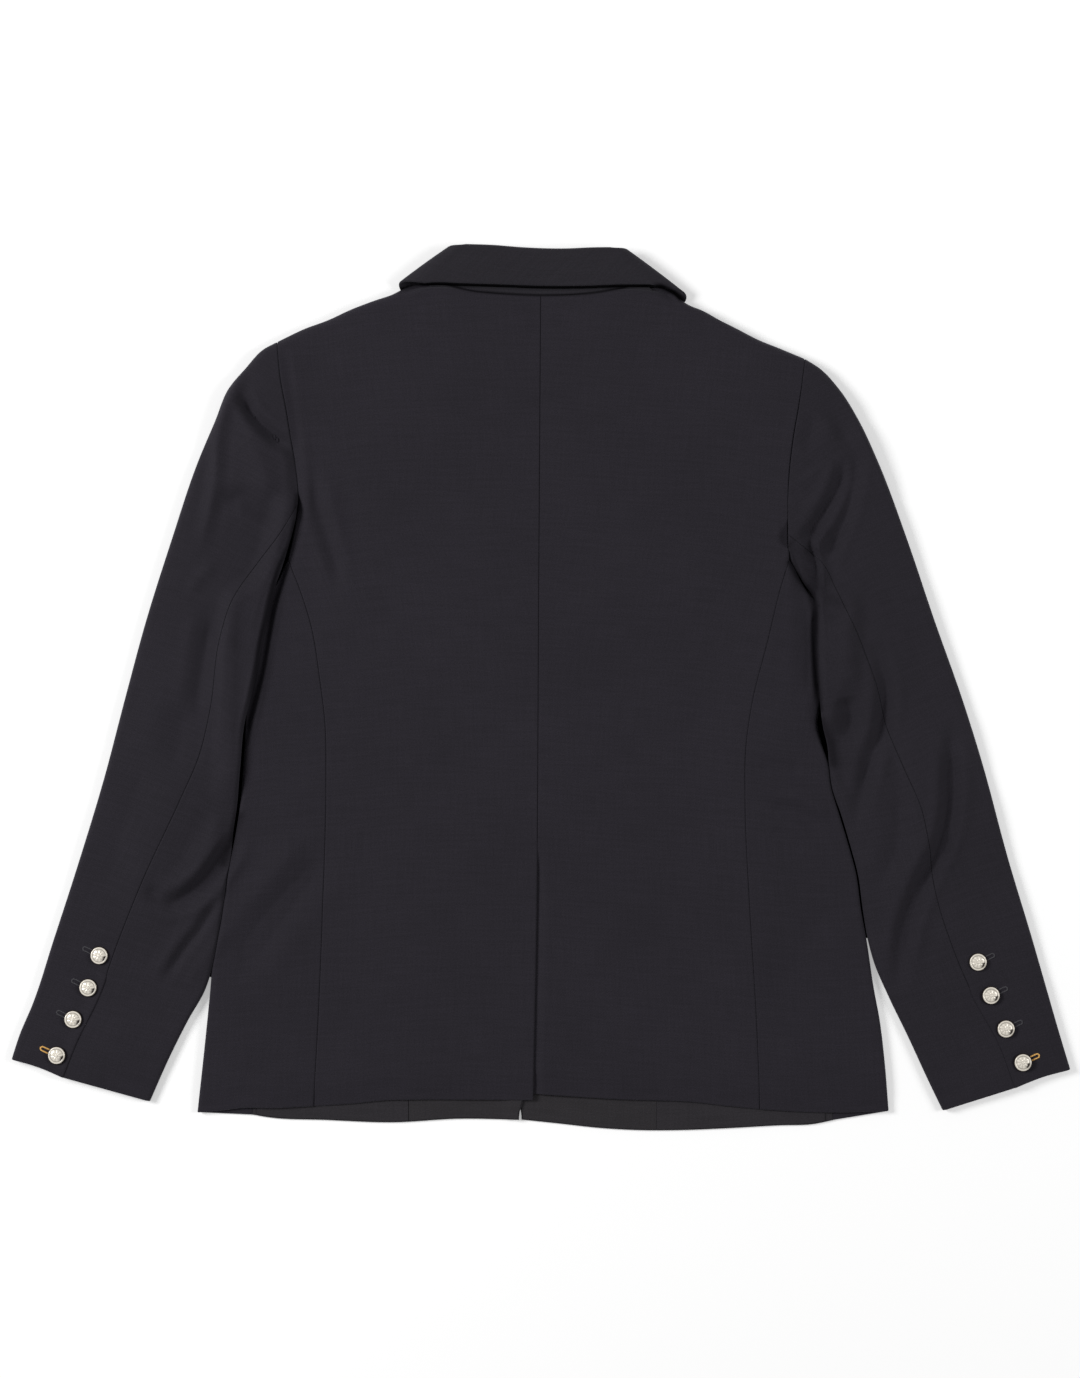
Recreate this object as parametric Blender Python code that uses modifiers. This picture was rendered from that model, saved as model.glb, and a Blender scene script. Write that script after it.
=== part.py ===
"""A tailored blazer lying face down, flat on a surface, seen from its back.

X runs across the back, +Y towards the collar, +Z up from the surface.
The tables are in millimetres, measured from the centre of the back and its hem; the meshes are in metres.

Every panel is made the same way. Its outline on the surface is a patch between four seams or edges. The "bed" is
what it lies on, the "pile" is the height of the layers there, and a fold rolls the panel's edge round. The wall of
cloth is set in from the outer face point by point, because it is thicker where it is padded and is cut upright at
its seams, which no modifier does.
"""
import math

import bpy
import bmesh
import numpy as np

MM = 0.001

# ---- driving dimensions, mm ----
WALL = 1.8              # cloth with its lining
PADDED = 5.0            # thickest padded wall, at the shoulder
HOLLOW = 3.0            # left between the two layers where they are padded
SEAM = 0.3              # between pieces sewn edge to edge
LAY = 0.35              # between layers that lie on each other
LAYER = WALL + LAY      # what one more layer adds to the bed
VENT_TOP = 202          # top of the centre vent, from the hem line
UNDERLAP = 35           # width of the vent's underlap
CUFF_BUTTON = 15.0      # diameter
CUFF_BUTTON_HIGH = 3.6
FRONT_BUTTON = 20.0     # diameter
FRONT_BUTTON_HIGH = 3.0
FRONT_BUTTON_AT = (-12, 298)
ROLL_HEIGHT = 16.5      # crest of the collar's roll
ROLL_BULGE = 0.8        # how far the collar leaf arches over its straight slope
STAND_HIGH = 11.6       # top of the collar's standing band

# ---- how cloth climbs onto what lies below it: how far off the slope ends, and how long the slope is, mm ----
LAPEL_RISE = (48, 14)
BUTTON_RISE = {"left": (128, 60), "right": (110, 60)}
OVERLAP_RISE = (15, 10)
SLEEVE_RISE = (28, 20)
CLIMB = 36              # length up the sleeve over which it begins to climb
FLUSH = 30              # beside the armhole, where the sleeve comes level with the body

# ---- how finely the patches are cut ----
SEAM_ROWS = 13          # hem to armhole
ARM_ROWS = 7            # armhole to shoulder tip
SHOULDER_COLUMNS = 6
NECK_COLUMNS = 4
SIDE_COLUMNS = 4
LAPEL_CELLS = (9, 4)    # up the lapel, across it
SLEEVE_ROWS = 24
SLEEVE_CROWD = 1.15     # over 1 crowds the rows towards the armhole
SLEEVE_COLUMNS = {"top": (9, 8), "under": (8, 8)}   # in the upper layer, in the lower layer
COLLAR_CELLS = (12, 6)  # along the back, round each turn
LEAF_COLUMNS = 4
BUTTON_STEPS = 12
ARC = (0, 24, 50, 90)   # degrees round a folded edge, a quarter turn

CLOTH_COLOUR = (0.028, 0.025, 0.032, 1)
METAL_COLOUR = (0.80, 0.66, 0.45, 1)

# Outlines of each half as it lies, every one from the hem or cuff upwards or from the outside inwards: (x, y)
OUTLINES = {
    "left": {
        "side_fold": [(-285.5, 15), (-278, 85), (-274, 128), (-265.5, 173), (-260.5, 208), (-253, 250),
                      (-250, 295), (-248, 341), (-246.5, 387), (-244, 432)],
        "side_seam": [(-189, 21), (-185, 92), (-181, 192), (-178.5, 291), (-179.5, 341), (-183.5, 374),
                      (-191, 420), (-200, 449), (-210, 474)],
        "under_seam": [(-240, 13), (-231.5, 125), (-221, 233), (-214, 324), (-216.5, 391), (-227, 444)],
        "armpit": [(-210, 474), (-227, 444), (-244, 432)],
        "armhole": [(-210, 474), (-203.5, 507), (-201.5, 528), (-203.5, 549), (-207.5, 573), (-211.5, 598),
                    (-216, 623), (-219, 652.5)],
        "shoulder": [(-219, 652.5), (-196, 665), (-177, 673), (-158.5, 681.5), (-136, 689.5), (-124, 692),
                     (-114, 694), (-107, 698.5), (-100, 703.5)],
        "neck": [(-100, 703.5), (-76, 702), (-57, 698.5), (-32, 695), (0, 693)],
        "hem_back": [(-189, 20), (-158.5, 22), (-129, 25), (-99, 25.5), (-58, 25.5), (-6.6, 25.2)],
        "hem_side": [(-285.5, 15), (-265.5, 16.5), (-250, 18.5), (-219, 18.5), (-189, 20)],
        "hem_front": [(-240, 13), (-229, 11), (-179, 8.5), (-123, 6.5), (-68, 9.5), (-19, 8.7)],
        "front_edge": [(-19, 8.7), (-17.5, 18), (-10, 60), (-1, 120), (0, 200), (0, 320), (-61.8, 659)],
        "lapel_edge": [(-20.5, 388), (-68, 420), (-114, 520), (-132, 612)],
        "lapel_top": [(-132, 612), (-100, 630), (-63, 655)],
        "lapel_side": [(-13.2, 390), (-61.8, 655)],
        "sleeve_outer": [(-439, 60), (-433.5, 79), (-422.5, 105), (-405, 158.5), (-383.5, 225), (-363.5, 291),
                         (-346, 357.5), (-328, 424), (-307, 490.5), (-284.5, 557), (-270.5, 590), (-260, 615),
                         (-245, 632), (-231, 646), (-219, 652.5)],
        "sleeve_seam": [(-395, 46.5), (-383.5, 75.5), (-368.5, 108.5), (-350.5, 158.5), (-330.5, 208),
                        (-299.5, 274.5), (-284, 310.5), (-274.5, 349.5), (-266.5, 407.5), (-255.5, 441),
                        (-233, 474), (-216, 496), (-202.4, 519)],
        "sleeve_inner": [(-325.5, 25), (-309.5, 59), (-293, 92), (-277.5, 125), (-268, 173.5), (-262.5, 208),
                         (-256, 250), (-252.5, 287), (-243, 341), (-235, 366), (-226.5, 407.5), (-218.5, 449),
                         (-209, 486.5), (-203.4, 507)],
        "front_seam": [(-341, 29), (-308, 92), (-292, 140), (-280, 208), (-272, 287), (-264, 341), (-250, 407.5),
                       (-236, 449), (-215, 500), (-202.1, 532)],
        "sleeve_climbs": 300,
        "cuff_buttons": [(-366.7, 145.6), (-375.9, 118.9), (-388.4, 92.6), (-402.0, 62.7)],
    },
    "right": {
        "side_fold": [(289, 16), (285.5, 59), (281.5, 92), (276.5, 119), (270.5, 157), (265.5, 192), (256.5, 235),
                      (243, 275), (239, 308), (240.5, 358), (242.5, 399), (244, 432)],
        "side_seam": [(182, 20), (179, 92), (173.5, 183), (169.5, 275), (170, 316), (175, 353.5), (188.5, 407.5),
                      (198.5, 449), (206, 474)],
        "under_seam": [(243, 8.5), (233, 125), (220, 233), (209, 308), (215, 383), (228, 441)],
        "armpit": [(206, 474), (228, 441), (244, 432)],
        "armhole": [(206, 474), (205, 499), (205, 524), (206.5, 549), (210, 578), (213.5, 598), (216.5, 619),
                    (219, 638.5)],
        "shoulder": [(219, 638.5), (198.5, 648), (180, 656.5), (164.5, 665), (148.5, 673), (133, 681.5),
                     (124, 683.5), (116, 685.5), (109, 690.5), (102, 696)],
        "neck": [(102, 696), (75, 699), (52, 696.5), (27.5, 693.5), (0, 693)],
        "hem_back": [(182, 17.5), (157, 20), (127, 23.5), (72, 25.5), (29, 28), (-6.6, 30.5)],
        "hem_side": [(289, 16), (258, 15), (220, 15.2), (182, 17.5)],
        "hem_front": [(243, 8.3), (226.5, 5), (199, 4), (157, 1.7), (114.5, 0), (82, 0), (50.5, 1.7),
                      (12.5, 5.8), (-15.6, 8.8)],
        "front_edge": [(-15.6, 8.8), (-17, 18), (-21, 60), (-24, 120), (-24, 200), (-24, 320), (53.5, 657)],
        "lapel_edge": [(-14, 323), (-2, 330), (66, 420), (112, 520), (130, 612)],
        "lapel_top": [(130, 612), (98, 630), (54.5, 653)],
        "lapel_side": [(-22.5, 325), (53, 653)],
        "sleeve_outer": [(439, 51.5), (431, 79), (420, 118.5), (408.5, 158.5), (388.5, 225), (366, 308),
                         (350.5, 357.5), (327, 424), (304.5, 490.5), (279.5, 557), (264, 590), (247.5, 615),
                         (230, 631.5), (219, 638.5)],
        "sleeve_seam": [(392.5, 37.5), (378.5, 75.5), (360, 108.5), (339.5, 158.5), (327, 200), (322, 237.5),
                        (316, 266.5), (302, 299.5), (288, 333), (277, 374.5), (259, 420), (245, 449), (233, 472),
                        (219, 484), (205.2, 494.5)],
        "sleeve_inner": [(334.5, 17.5), (323, 39), (304.5, 79), (288.5, 112), (275.5, 145), (268.5, 192),
                         (259.5, 235), (246.5, 275), (242.5, 304), (246, 329), (237.5, 349.5), (231, 374.5),
                         (229, 407.5), (228.4, 440.5)],
        "front_seam": [(350, 24), (320, 79), (299, 130), (285, 192), (272, 250), (262, 304), (252, 374.5),
                       (238, 440), (216, 480), (205.2, 508)],
        "sleeve_climbs": 335,
        "cuff_buttons": [(362.8, 140.2), (373.6, 112.5), (386.0, 84.7), (400.1, 56.8)],
    },
}
CENTRE_BACK = [(-6.6, 26), (-3.3, 202), (-1.7, 440), (0, 693)]

# Height of the whole pile of cloth up the body:  y, half width, at the fold, half way, at the centre
BODY_PILE = [
    (0, 287, 6.2, 6.9, 8.5),
    (130, 271, 6.2, 6.9, 8.7),
    (200, 262, 6.2, 7.0, 10.0),
    (298, 245, 6.3, 7.4, 10.8),
    (400, 244, 6.5, 8.0, 9.4),
    (450, 235, 6.9, 8.8, 9.4),
    (510, 206, 8.8, 9.9, 9.6),
    (580, 210, 11.0, 11.4, 10.2),
    (650, 219, 13.0, 12.6, 10.8),
    (740, 219, 13.0, 12.8, 11.0),
]
# Height of the sleeve's own pile:  mm from the cuff, outer fold, middle, inner fold
SLEEVE_LENGTH = 620
SLEEVE_PILE = [
    (0, 6.4, 6.6, 6.4),
    (124, 6.5, 6.9, 6.4),
    (279, 6.8, 7.8, 6.0),
    (434, 7.4, 8.8, 5.6),
    (546, 9.6, 10.0, 5.2),
    (620, 13.0, 11.4, 4.8),
]
# Line round each lapel and the collar's end above it, which the front lies on
LAPEL_BEDS = {
    "left": [(-8, 372), (-20.5, 386), (-68, 418), (-114, 519), (-133, 612), (-126, 650), (-118, 696), (-118, 760)],
    "right": [(-26, 315), (-14, 320), (66, 418), (112, 519), (131, 612), (126, 645), (119, 688), (119, 760)],
}
# The largest folds, as soft troughs (negative) and ridges:  from x, y, to x, y, half width, height
FOLDS = [
    (-247, 607, -207, 568, 8, -2.6),
    (-268, 600, -262, 545, 7, 1.6),
    (-244, 528, -208, 511, 10, -1.8),
    (-262, 196, -352, 100, 9, -1.6),
    (-256, 226, -300, 186, 12, -2.4),
    (-224, 540, -208, 466, 12, -1.2),
    (252, 548, 215, 482, 8, -2.6),
    (226, 590, 218, 540, 9, -1.6),
    (262, 375, 276, 290, 9, -1.6),
    (312, 350, 322, 268, 9, -1.8),
    (322, 268, 300, 170, 9, -2.0),
    (241, 345, 246, 310, 8, -2.6),
    (236, 330, 190, 322, 10, -1.2),
    (-208, 217, -250, 142, 14, -1.2),
]


# ---- lines and patches on the surface ----
def smooth_line(points, steps=8):
    """A smooth curve through the points of a table, of any number of columns."""
    p = np.array(points, float)
    t = np.r_[0, np.cumsum(np.linalg.norm(np.diff(p[:, :2], axis=0), axis=1))]
    slope = np.gradient(p, t, axis=0) if len(p) > 2 else np.tile((p[1] - p[0]) / t[1], (2, 1))
    line = []
    for i in range(len(p) - 1):
        span = t[i + 1] - t[i]
        for s in np.arange(steps) / steps:
            keep = 2 * s**3 - 3 * s**2 + 1
            start = (s**3 - 2 * s**2 + s) * span * slope[i]
            end = (s**3 - s**2) * span * slope[i + 1]
            line.append(keep * p[i] + start + (1 - keep) * p[i + 1] + end)
    return np.array(line + [p[-1]])


def at(line, shares):
    """Points at the given shares of a line's length."""
    t = np.r_[0, np.cumsum(np.linalg.norm(np.diff(line, axis=0), axis=1))]
    return np.stack([np.interp(np.asarray(shares) * t[-1], t, line[:, k]) for k in (0, 1)], axis=1)


def even(line, cells):
    return at(line, np.linspace(0, 1, cells + 1))


def joined(*lines):
    """Lines end to end, each meeting the next at a shared point."""
    return np.concatenate([lines[0]] + [line[1:] for line in lines[1:]])


def beside(line, amount):
    """The line moved to its left by an amount, or to its right by a negative one."""
    run = np.gradient(line, axis=0)
    run /= np.linalg.norm(run, axis=1)[:, None]
    return line + amount * np.stack([-run[:, 1], run[:, 0]], axis=1)


def patch(low, high, first, last):
    """Fill four sides with rows of points: low and high run from first to last."""
    v = np.linspace(0, 1, len(first))[:, None, None]
    u = np.linspace(0, 1, len(low))[None, :, None]
    sides = (1 - u) * first[:, None] + u * last[:, None]
    ends = (1 - v) * low[None] + v * high[None]
    corners = (1 - v) * ((1 - u) * low[0] + u * low[-1]) + v * ((1 - u) * high[0] + u * high[-1])
    return sides + ends - corners


def distance(points, line, inside, past_ends=False):
    """How far points are inside a line (inside: +1 to its left, -1 to its right), and the way further in.

    past_ends counts what lies past either end of the line as inside it.
    """
    start, run = line[:-1], np.diff(line, axis=0)
    rel = points[..., None, :] - start
    share = (rel * run).sum(-1) / (run * run).sum(-1)
    off = rel - np.clip(share, 0, 1)[..., None] * run
    nearest = np.linalg.norm(off, axis=-1).argmin(-1)[..., None]
    far = np.take_along_axis(np.linalg.norm(off, axis=-1), nearest, -1)[..., 0]
    left = np.stack([-run[:, 1], run[:, 0]], axis=1) / np.linalg.norm(run, axis=1)[:, None]
    normal = left[nearest[..., 0]] * inside
    side = np.take_along_axis((off * left).sum(-1) * inside, nearest, -1)[..., 0]
    if past_ends:
        side = np.where((share[..., 0] < 0) & (nearest[..., 0] == 0), 1, side)
        side = np.where((share[..., -1] > 1) & (nearest[..., 0] == len(run) - 1), 1, side)
    return np.where(side < 0, -far, far), normal


def ease(t):
    t = np.clip(t, 0, 1)
    return t * t * (3 - 2 * t)


def through(start, half, end, t):
    """The smooth curve that passes a start, a half-way value and an end, at share t of the way."""
    return start * (1 - t) * (1 - 2 * t) + 4 * half * t * (1 - t) + end * t * (2 * t - 1)


def rise(inside, slope):
    """0 to 1 up a slope that ends a given way outside an edge and is a given length."""
    off, length = slope
    return ease((inside + off) / length)


# ---- heights ----
def body_pile(points):
    x, y = points[..., 0], points[..., 1]
    rows = smooth_line(BODY_PILE)
    half, fold, middle, centre = (np.interp(y, rows[:, 0], rows[:, k]) for k in (1, 2, 3, 4))
    return through(centre, middle, fold, np.clip(np.abs(x) / half, 0, 1))


def sleeve_pile(share, across):
    """Height at a share of the way from cuff to armhole, and of the way from the outer to the inner fold."""
    rows = smooth_line(SLEEVE_PILE)
    outer, middle, inner = (np.interp(share * SLEEVE_LENGTH, rows[:, 0], rows[:, k]) for k in (1, 2, 3))
    return through(outer, middle, inner, across)


def folds(points):
    """The height of the largest folds at each point."""
    high = np.zeros(points.shape[:-1])
    for x0, y0, x1, y1, width, rise in FOLDS:
        start, run = np.array((x0, y0)), np.array((x1 - x0, y1 - y0))
        rel = points - start
        along = (rel @ run) / (run @ run)
        off = np.linalg.norm(rel - np.clip(along, 0, 1)[..., None] * run, axis=-1)
        high += rise * np.exp(-(off / width) ** 2) * ease(4 * along + 0.5) * ease(4.5 - 4 * along)
    return high


def padding(points, pile):
    """Thickness of the body's walls: cloth, and padding towards the shoulders."""
    x, y = np.abs(points[..., 0]), points[..., 1]
    share = ease((x - 70) / 60) * ease((y - 400) / 120)
    return WALL + share * (np.clip((pile - HOLLOW) / 2, WALL, PADDED) - WALL)


def side_sign(side):
    return -1 if side == "left" else 1


def slab_edge(side):
    """Edge of the body under the sleeve, ending across the armhole, where the sleeve lies beside the body."""
    line = OUTLINES[side]
    armpit = smooth_line(line["armpit"])[::-1]
    arm = joined(armpit, smooth_line(line["armhole"]))
    nearest = np.linalg.norm(arm - line["sleeve_inner"][-1], axis=1).argmin()
    arm = arm[: max(nearest + 1, len(armpit))]
    inwards = arm[-1] - (side_sign(side) * FLUSH * 2, 0)
    return joined(smooth_line(line["side_fold"]), arm, np.array([arm[-1], inwards]))


def sleeve_bed(side, points):
    """The sleeve lies on the surface, and climbs over the edge of the body beside it."""
    inside, _ = distance(points, slab_edge(side), side_sign(side))
    climbs = ease((points[..., 1] - OUTLINES[side]["sleeve_climbs"]) / CLIMB + 1)
    return (body_pile(points) + 2 * LAY) * rise(inside, SLEEVE_RISE) * climbs


def lapel_bed(side, points):
    """The front lies on its lapel and on the collar's end."""
    inside, _ = distance(points, smooth_line(LAPEL_BEDS[side]), side_sign(side))
    return LAYER * rise(inside, LAPEL_RISE)


def front_bed(side, points):
    """What each front lies on: its lapel, the button, and for the left one the other front's edge."""
    button_off = np.linalg.norm(points - np.array(FRONT_BUTTON_AT), axis=-1)
    lift = (FRONT_BUTTON_HIGH + LAY) * rise(-button_off, BUTTON_RISE[side])
    lift = np.maximum(lapel_bed("right", points), lift)
    if side == "right":
        return lift
    other, _ = distance(points, smooth_line(OUTLINES["right"]["front_edge"]), -1)
    return np.maximum(lapel_bed("left", points), (LAYER + lift) * rise(other, OVERLAP_RISE))


def rolled(points, bed, pile, wall, folded=(), top=True, extra=0):
    """Outer and inner points of a layer, the top or the bottom one of a pile, rolled round at its folded edges.

    folded holds (distance in from the edge, the way in) for each folded edge.
    """
    radius = pile / 2
    drop, inwards = np.zeros_like(pile), np.zeros(points.shape)
    for far, way in folded:
        near = np.clip(radius - far, 0, radius)
        high = np.sqrt(radius**2 - near**2)
        drop = np.maximum(drop, radius - high)
        inwards = inwards + way * (near / radius)[..., None]
    flat = 1 - drop / radius
    up = 1 if top else -1
    z = bed + (pile - drop + extra * flat if top else drop)
    outer = np.concatenate([points, z[..., None]], axis=-1)
    way = np.concatenate([inwards, (-up * flat)[..., None]], axis=-1)
    way /= np.maximum(np.linalg.norm(way, axis=-1), 1e-6)[..., None]
    return outer, outer + way * wall[..., None]


# ---- solids ----
def material(name, colour, metallic, roughness):
    new = bpy.data.materials.new(name)
    new.use_nodes = True
    shader = new.node_tree.nodes["Principled BSDF"]
    shader.inputs["Base Color"].default_value = colour
    shader.inputs["Metallic"].default_value = metallic
    shader.inputs["Roughness"].default_value = roughness
    return new


def add_object(name, mesh, colour, metallic=0.0, roughness=0.85):
    mesh.materials.append(material(name, colour, metallic, roughness))
    thing = bpy.data.objects.new(name, mesh)
    bpy.data.collections["blazer"].objects.link(thing)
    return thing


def wall_of_cloth(name, outer, inner, keep=None):
    """Close the wall between an outer and an inner face of the same grid, with or without some of its cells."""
    rows, columns = outer.shape[:2]
    keep = np.ones((rows - 1, columns - 1), bool) if keep is None else keep
    build = bmesh.new()
    corners = {}

    def corner(face, i, j):
        if (face, i, j) not in corners:
            corners[face, i, j] = build.verts.new(((outer, inner)[face][i, j] * MM).tolist())
        return corners[face, i, j]

    for i, j in np.argwhere(keep):
        ring = [(i, j), (i, j + 1), (i + 1, j + 1), (i + 1, j)]
        build.faces.new([corner(0, *c) for c in ring])
        build.faces.new([corner(1, *c) for c in reversed(ring)])
        beyond = [(i - 1, j), (i, j + 1), (i + 1, j), (i, j - 1)]
        for a, b, (k, m) in zip(ring, ring[1:] + ring[:1], beyond):
            if not (0 <= k < rows - 1 and 0 <= m < columns - 1 and keep[k, m]):
                build.faces.new([corner(0, *b), corner(0, *a), corner(1, *a), corner(1, *b)])
    if build.calc_volume(signed=True) < 0:
        bmesh.ops.reverse_faces(build, faces=build.faces[:])
    mesh = bpy.data.meshes.new(name)
    build.to_mesh(mesh)
    build.free()
    mesh.shade_smooth()
    mesh.set_sharp_from_angle(angle=math.radians(50))
    return add_object(name, mesh, CLOTH_COLOUR)


def respaced(row, distances):
    """Points of a row at distances from its first end, then evenly to its other end."""
    t = np.r_[0, np.cumsum(np.linalg.norm(np.diff(row, axis=0), axis=1))]
    rest = len(row) - len(distances)
    where = np.r_[distances, np.linspace(distances[-1], t[-1], rest + 1)[1:]]
    return np.stack([np.interp(where, t, row[:, k]) for k in (0, 1)], axis=1)


def from_fold(plan, pile):
    """Space each row of a patch for the quarter turn round the folded edge at its first column."""
    steps = 1 - np.cos(np.radians(ARC))
    return np.array([respaced(row, high / 2 * steps) for row, high in zip(plan, pile)])


def with_roll_rows(plan, share=0.36):
    """Cut the last row of cells again, the last share of it for the roll at the shoulder."""
    cuts = 1 - share * (1 - np.cos(np.radians((90, 55, 25, 0))))
    extra = [plan[-2] * (1 - cut) + plan[-1] * cut for cut in cuts]
    return np.concatenate([plan[:-1], np.array(extra)])


def shoulder_fold(side, plan):
    far, way = distance(plan, smooth_line(OUTLINES[side]["shoulder"]), side_sign(side))
    return [(np.maximum(far, 0), way)]


def top_edge(side, inner_end):
    """Shoulder line, drawn in at its tip by half a seam, and what follows it to the middle."""
    shoulder = even(smooth_line(OUTLINES[side]["shoulder"]), SHOULDER_COLUMNS)
    shoulder[0, 0] -= side_sign(side) * SEAM / 2
    return joined(shoulder, inner_end)


def arm_side(side, seam):
    """A seam up to the armhole and the armhole above it, drawn in by half a seam."""
    seam = even(smooth_line(seam), SEAM_ROWS)
    arm = smooth_line(OUTLINES[side]["armhole"])
    if np.allclose(seam[-1], arm[0]):
        edge = joined(seam, even(arm, ARM_ROWS))
    else:
        edge = np.concatenate([seam, even(arm, ARM_ROWS - 1)])
    return beside(edge, SEAM / 2 * side_sign(side))


def back(side):
    line = OUTLINES[side]
    sign = side_sign(side)
    first = arm_side(side, line["side_seam"])
    centre = even(smooth_line(CENTRE_BACK), SEAM_ROWS + ARM_ROWS) + (sign * SEAM / 2, 0)
    high = top_edge(side, even(smooth_line(line["neck"]), NECK_COLUMNS))
    low = even(smooth_line(line["hem_back"]), SHOULDER_COLUMNS + NECK_COLUMNS)
    first[0], first[-1] = low[0] - (sign * SEAM / 2, 0), high[0]
    low[0], low[-1], high[-1] = first[0], centre[0] * (1, 0) + low[-1] * (0, 1), centre[-1]
    centre[0] = low[-1]
    plan = with_roll_rows(patch(low, high, first, centre))
    keep = np.ones((len(plan) - 1, plan.shape[1] - 1), bool)
    dip = np.zeros(plan.shape[:2])
    if side == "right":
        plan, keep, dip = with_underlap(plan, keep)
    under = front_bed(side, plan) * (plan[..., 1] > 600)
    pile = body_pile(plan) - under
    outer, inner = rolled(plan, under - dip, pile, padding(plan, pile), shoulder_fold(side, plan),
                          extra=folds(plan))
    outer[-1, : SHOULDER_COLUMNS + 1, 2] += SEAM / 2
    inner[-1, : SHOULDER_COLUMNS + 1, 2] += SEAM / 2
    return wall_of_cloth("back_" + side, outer, inner, keep)


def with_underlap(plan, keep):
    """Add the vent's underlap past the centre line, and the dip that takes it below the other panel's flap.

    The underlap narrows over the last row below the vent's top; the dip starts a little inside the flap.
    """
    edge = plan[:, -1]
    low = edge[:, 1] < VENT_TOP + 8
    reach = np.where(edge[:, 1] < VENT_TOP - 20, 1.0, 0.4)[:, None]
    steps = [plan[:, -2] + (edge - plan[:, -2]) * 0.75, edge]
    steps += [edge - (share * UNDERLAP * reach) * (1, 0) for share in (0.5, 1)]
    plan = np.stack([plan[:, j] for j in range(plan.shape[1] - 1)] + steps, axis=1)
    keep = np.concatenate([keep, keep[:, -1:], np.tile((low[:-1] & low[1:])[:, None], (1, 2))], axis=1)
    centre = np.interp(plan[..., 1], [p[1] for p in CENTRE_BACK], [p[0] for p in CENTRE_BACK])
    dip = LAYER * ease((8 - (plan[..., 0] - centre)) / 7) * ease((VENT_TOP + 45 - plan[..., 1]) / 34)
    return plan, keep, dip


def side_panel(side):
    line = OUTLINES[side]
    sign = side_sign(side)
    seam = beside(even(smooth_line(line["side_seam"]), SEAM_ROWS), -sign * SEAM / 2)
    fold_line = smooth_line(line["side_fold"])
    fold = even(fold_line, SEAM_ROWS)
    under = beside(even(smooth_line(line["under_seam"]), SEAM_ROWS), -sign * SEAM / 2)
    columns = SIDE_COLUMNS + len(ARC) - 1
    armpit = smooth_line(line["armpit"])[::-1]
    arm = beside(armpit, -sign * SEAM / 2)
    hem = smooth_line(line["hem_side"])
    upper = patch(even(hem, columns), even(arm, columns), fold, seam)
    meet = np.linalg.norm(armpit - np.array(line["under_seam"][-1]), axis=1).argmin()
    lower = patch(even(np.array([fold[0], under[0]]), columns), even(arm[: meet + 1], columns), fold, under)
    layers = []
    for plan, top in ((upper, True), (lower, False)):
        plan = from_fold(plan, body_pile(plan[:, 0]))
        far, way = distance(plan, fold_line, sign)
        pile = body_pile(plan)
        layers.append(rolled(plan, 0 * pile, pile, padding(plan, pile), [(np.maximum(far, 0), way)], top,
                             folds(plan)))
    outer, inner = (np.concatenate([layers[0][k][:, ::-1], layers[1][k][:, 1:]], axis=1) for k in (0, 1))
    return wall_of_cloth("side_" + side, outer, inner)


def front(side):
    line = OUTLINES[side]
    sign = side_sign(side)
    first = arm_side(side, line["under_seam"])
    edge = even(smooth_line(line["front_edge"]), SEAM_ROWS + ARM_ROWS)
    high = top_edge(side, even(np.array([line["shoulder"][-1], line["front_edge"][-1]]), NECK_COLUMNS - 1))
    low = even(smooth_line(line["hem_front"]), SHOULDER_COLUMNS + NECK_COLUMNS - 1)
    first[0], first[-1] = low[0] - (sign * SEAM / 2, 0), high[0]
    low[0], low[-1] = first[0], edge[0]
    plan = patch(low, high, first, edge)
    if side == "left":
        over, _ = distance(plan[:, -1], smooth_line(OUTLINES["right"]["front_edge"]), -1)
        steps = [np.array((0, lap / 2 + 3, lap + 5, lap + 16)) for lap in np.maximum(over, 0)]
        plan = np.array([respaced(row[::-1], step)[::-1] for row, step in zip(plan, steps)])
    plan = with_roll_rows(plan)
    bed = front_bed(side, plan)
    pile = body_pile(plan) - bed
    outer, inner = rolled(plan, bed, pile, padding(plan, pile), shoulder_fold(side, plan), top=False)
    outer[-1, : SHOULDER_COLUMNS + 1, 2] -= SEAM / 2
    inner[-1, : SHOULDER_COLUMNS + 1, 2] -= SEAM / 2
    return wall_of_cloth("front_" + side, outer, inner)


def sheet_on_floor(name, plan):
    floor = np.concatenate([plan, np.zeros(plan.shape[:2] + (1,))], axis=-1)
    return wall_of_cloth(name, floor, floor + (0, 0, WALL))


def lapel(side):
    line = OUTLINES[side]
    rows, columns = LAPEL_CELLS
    edge = even(smooth_line(line["lapel_edge"]), rows)
    roll = even(np.array(line["lapel_side"], float), rows)
    high = even(np.array(line["lapel_top"], float), columns)
    low = even(np.array([edge[0], roll[0]]), columns)
    high[0], high[-1] = edge[-1], roll[-1]
    return sheet_on_floor("lapel_" + side, patch(low, high, edge, roll))


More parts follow.
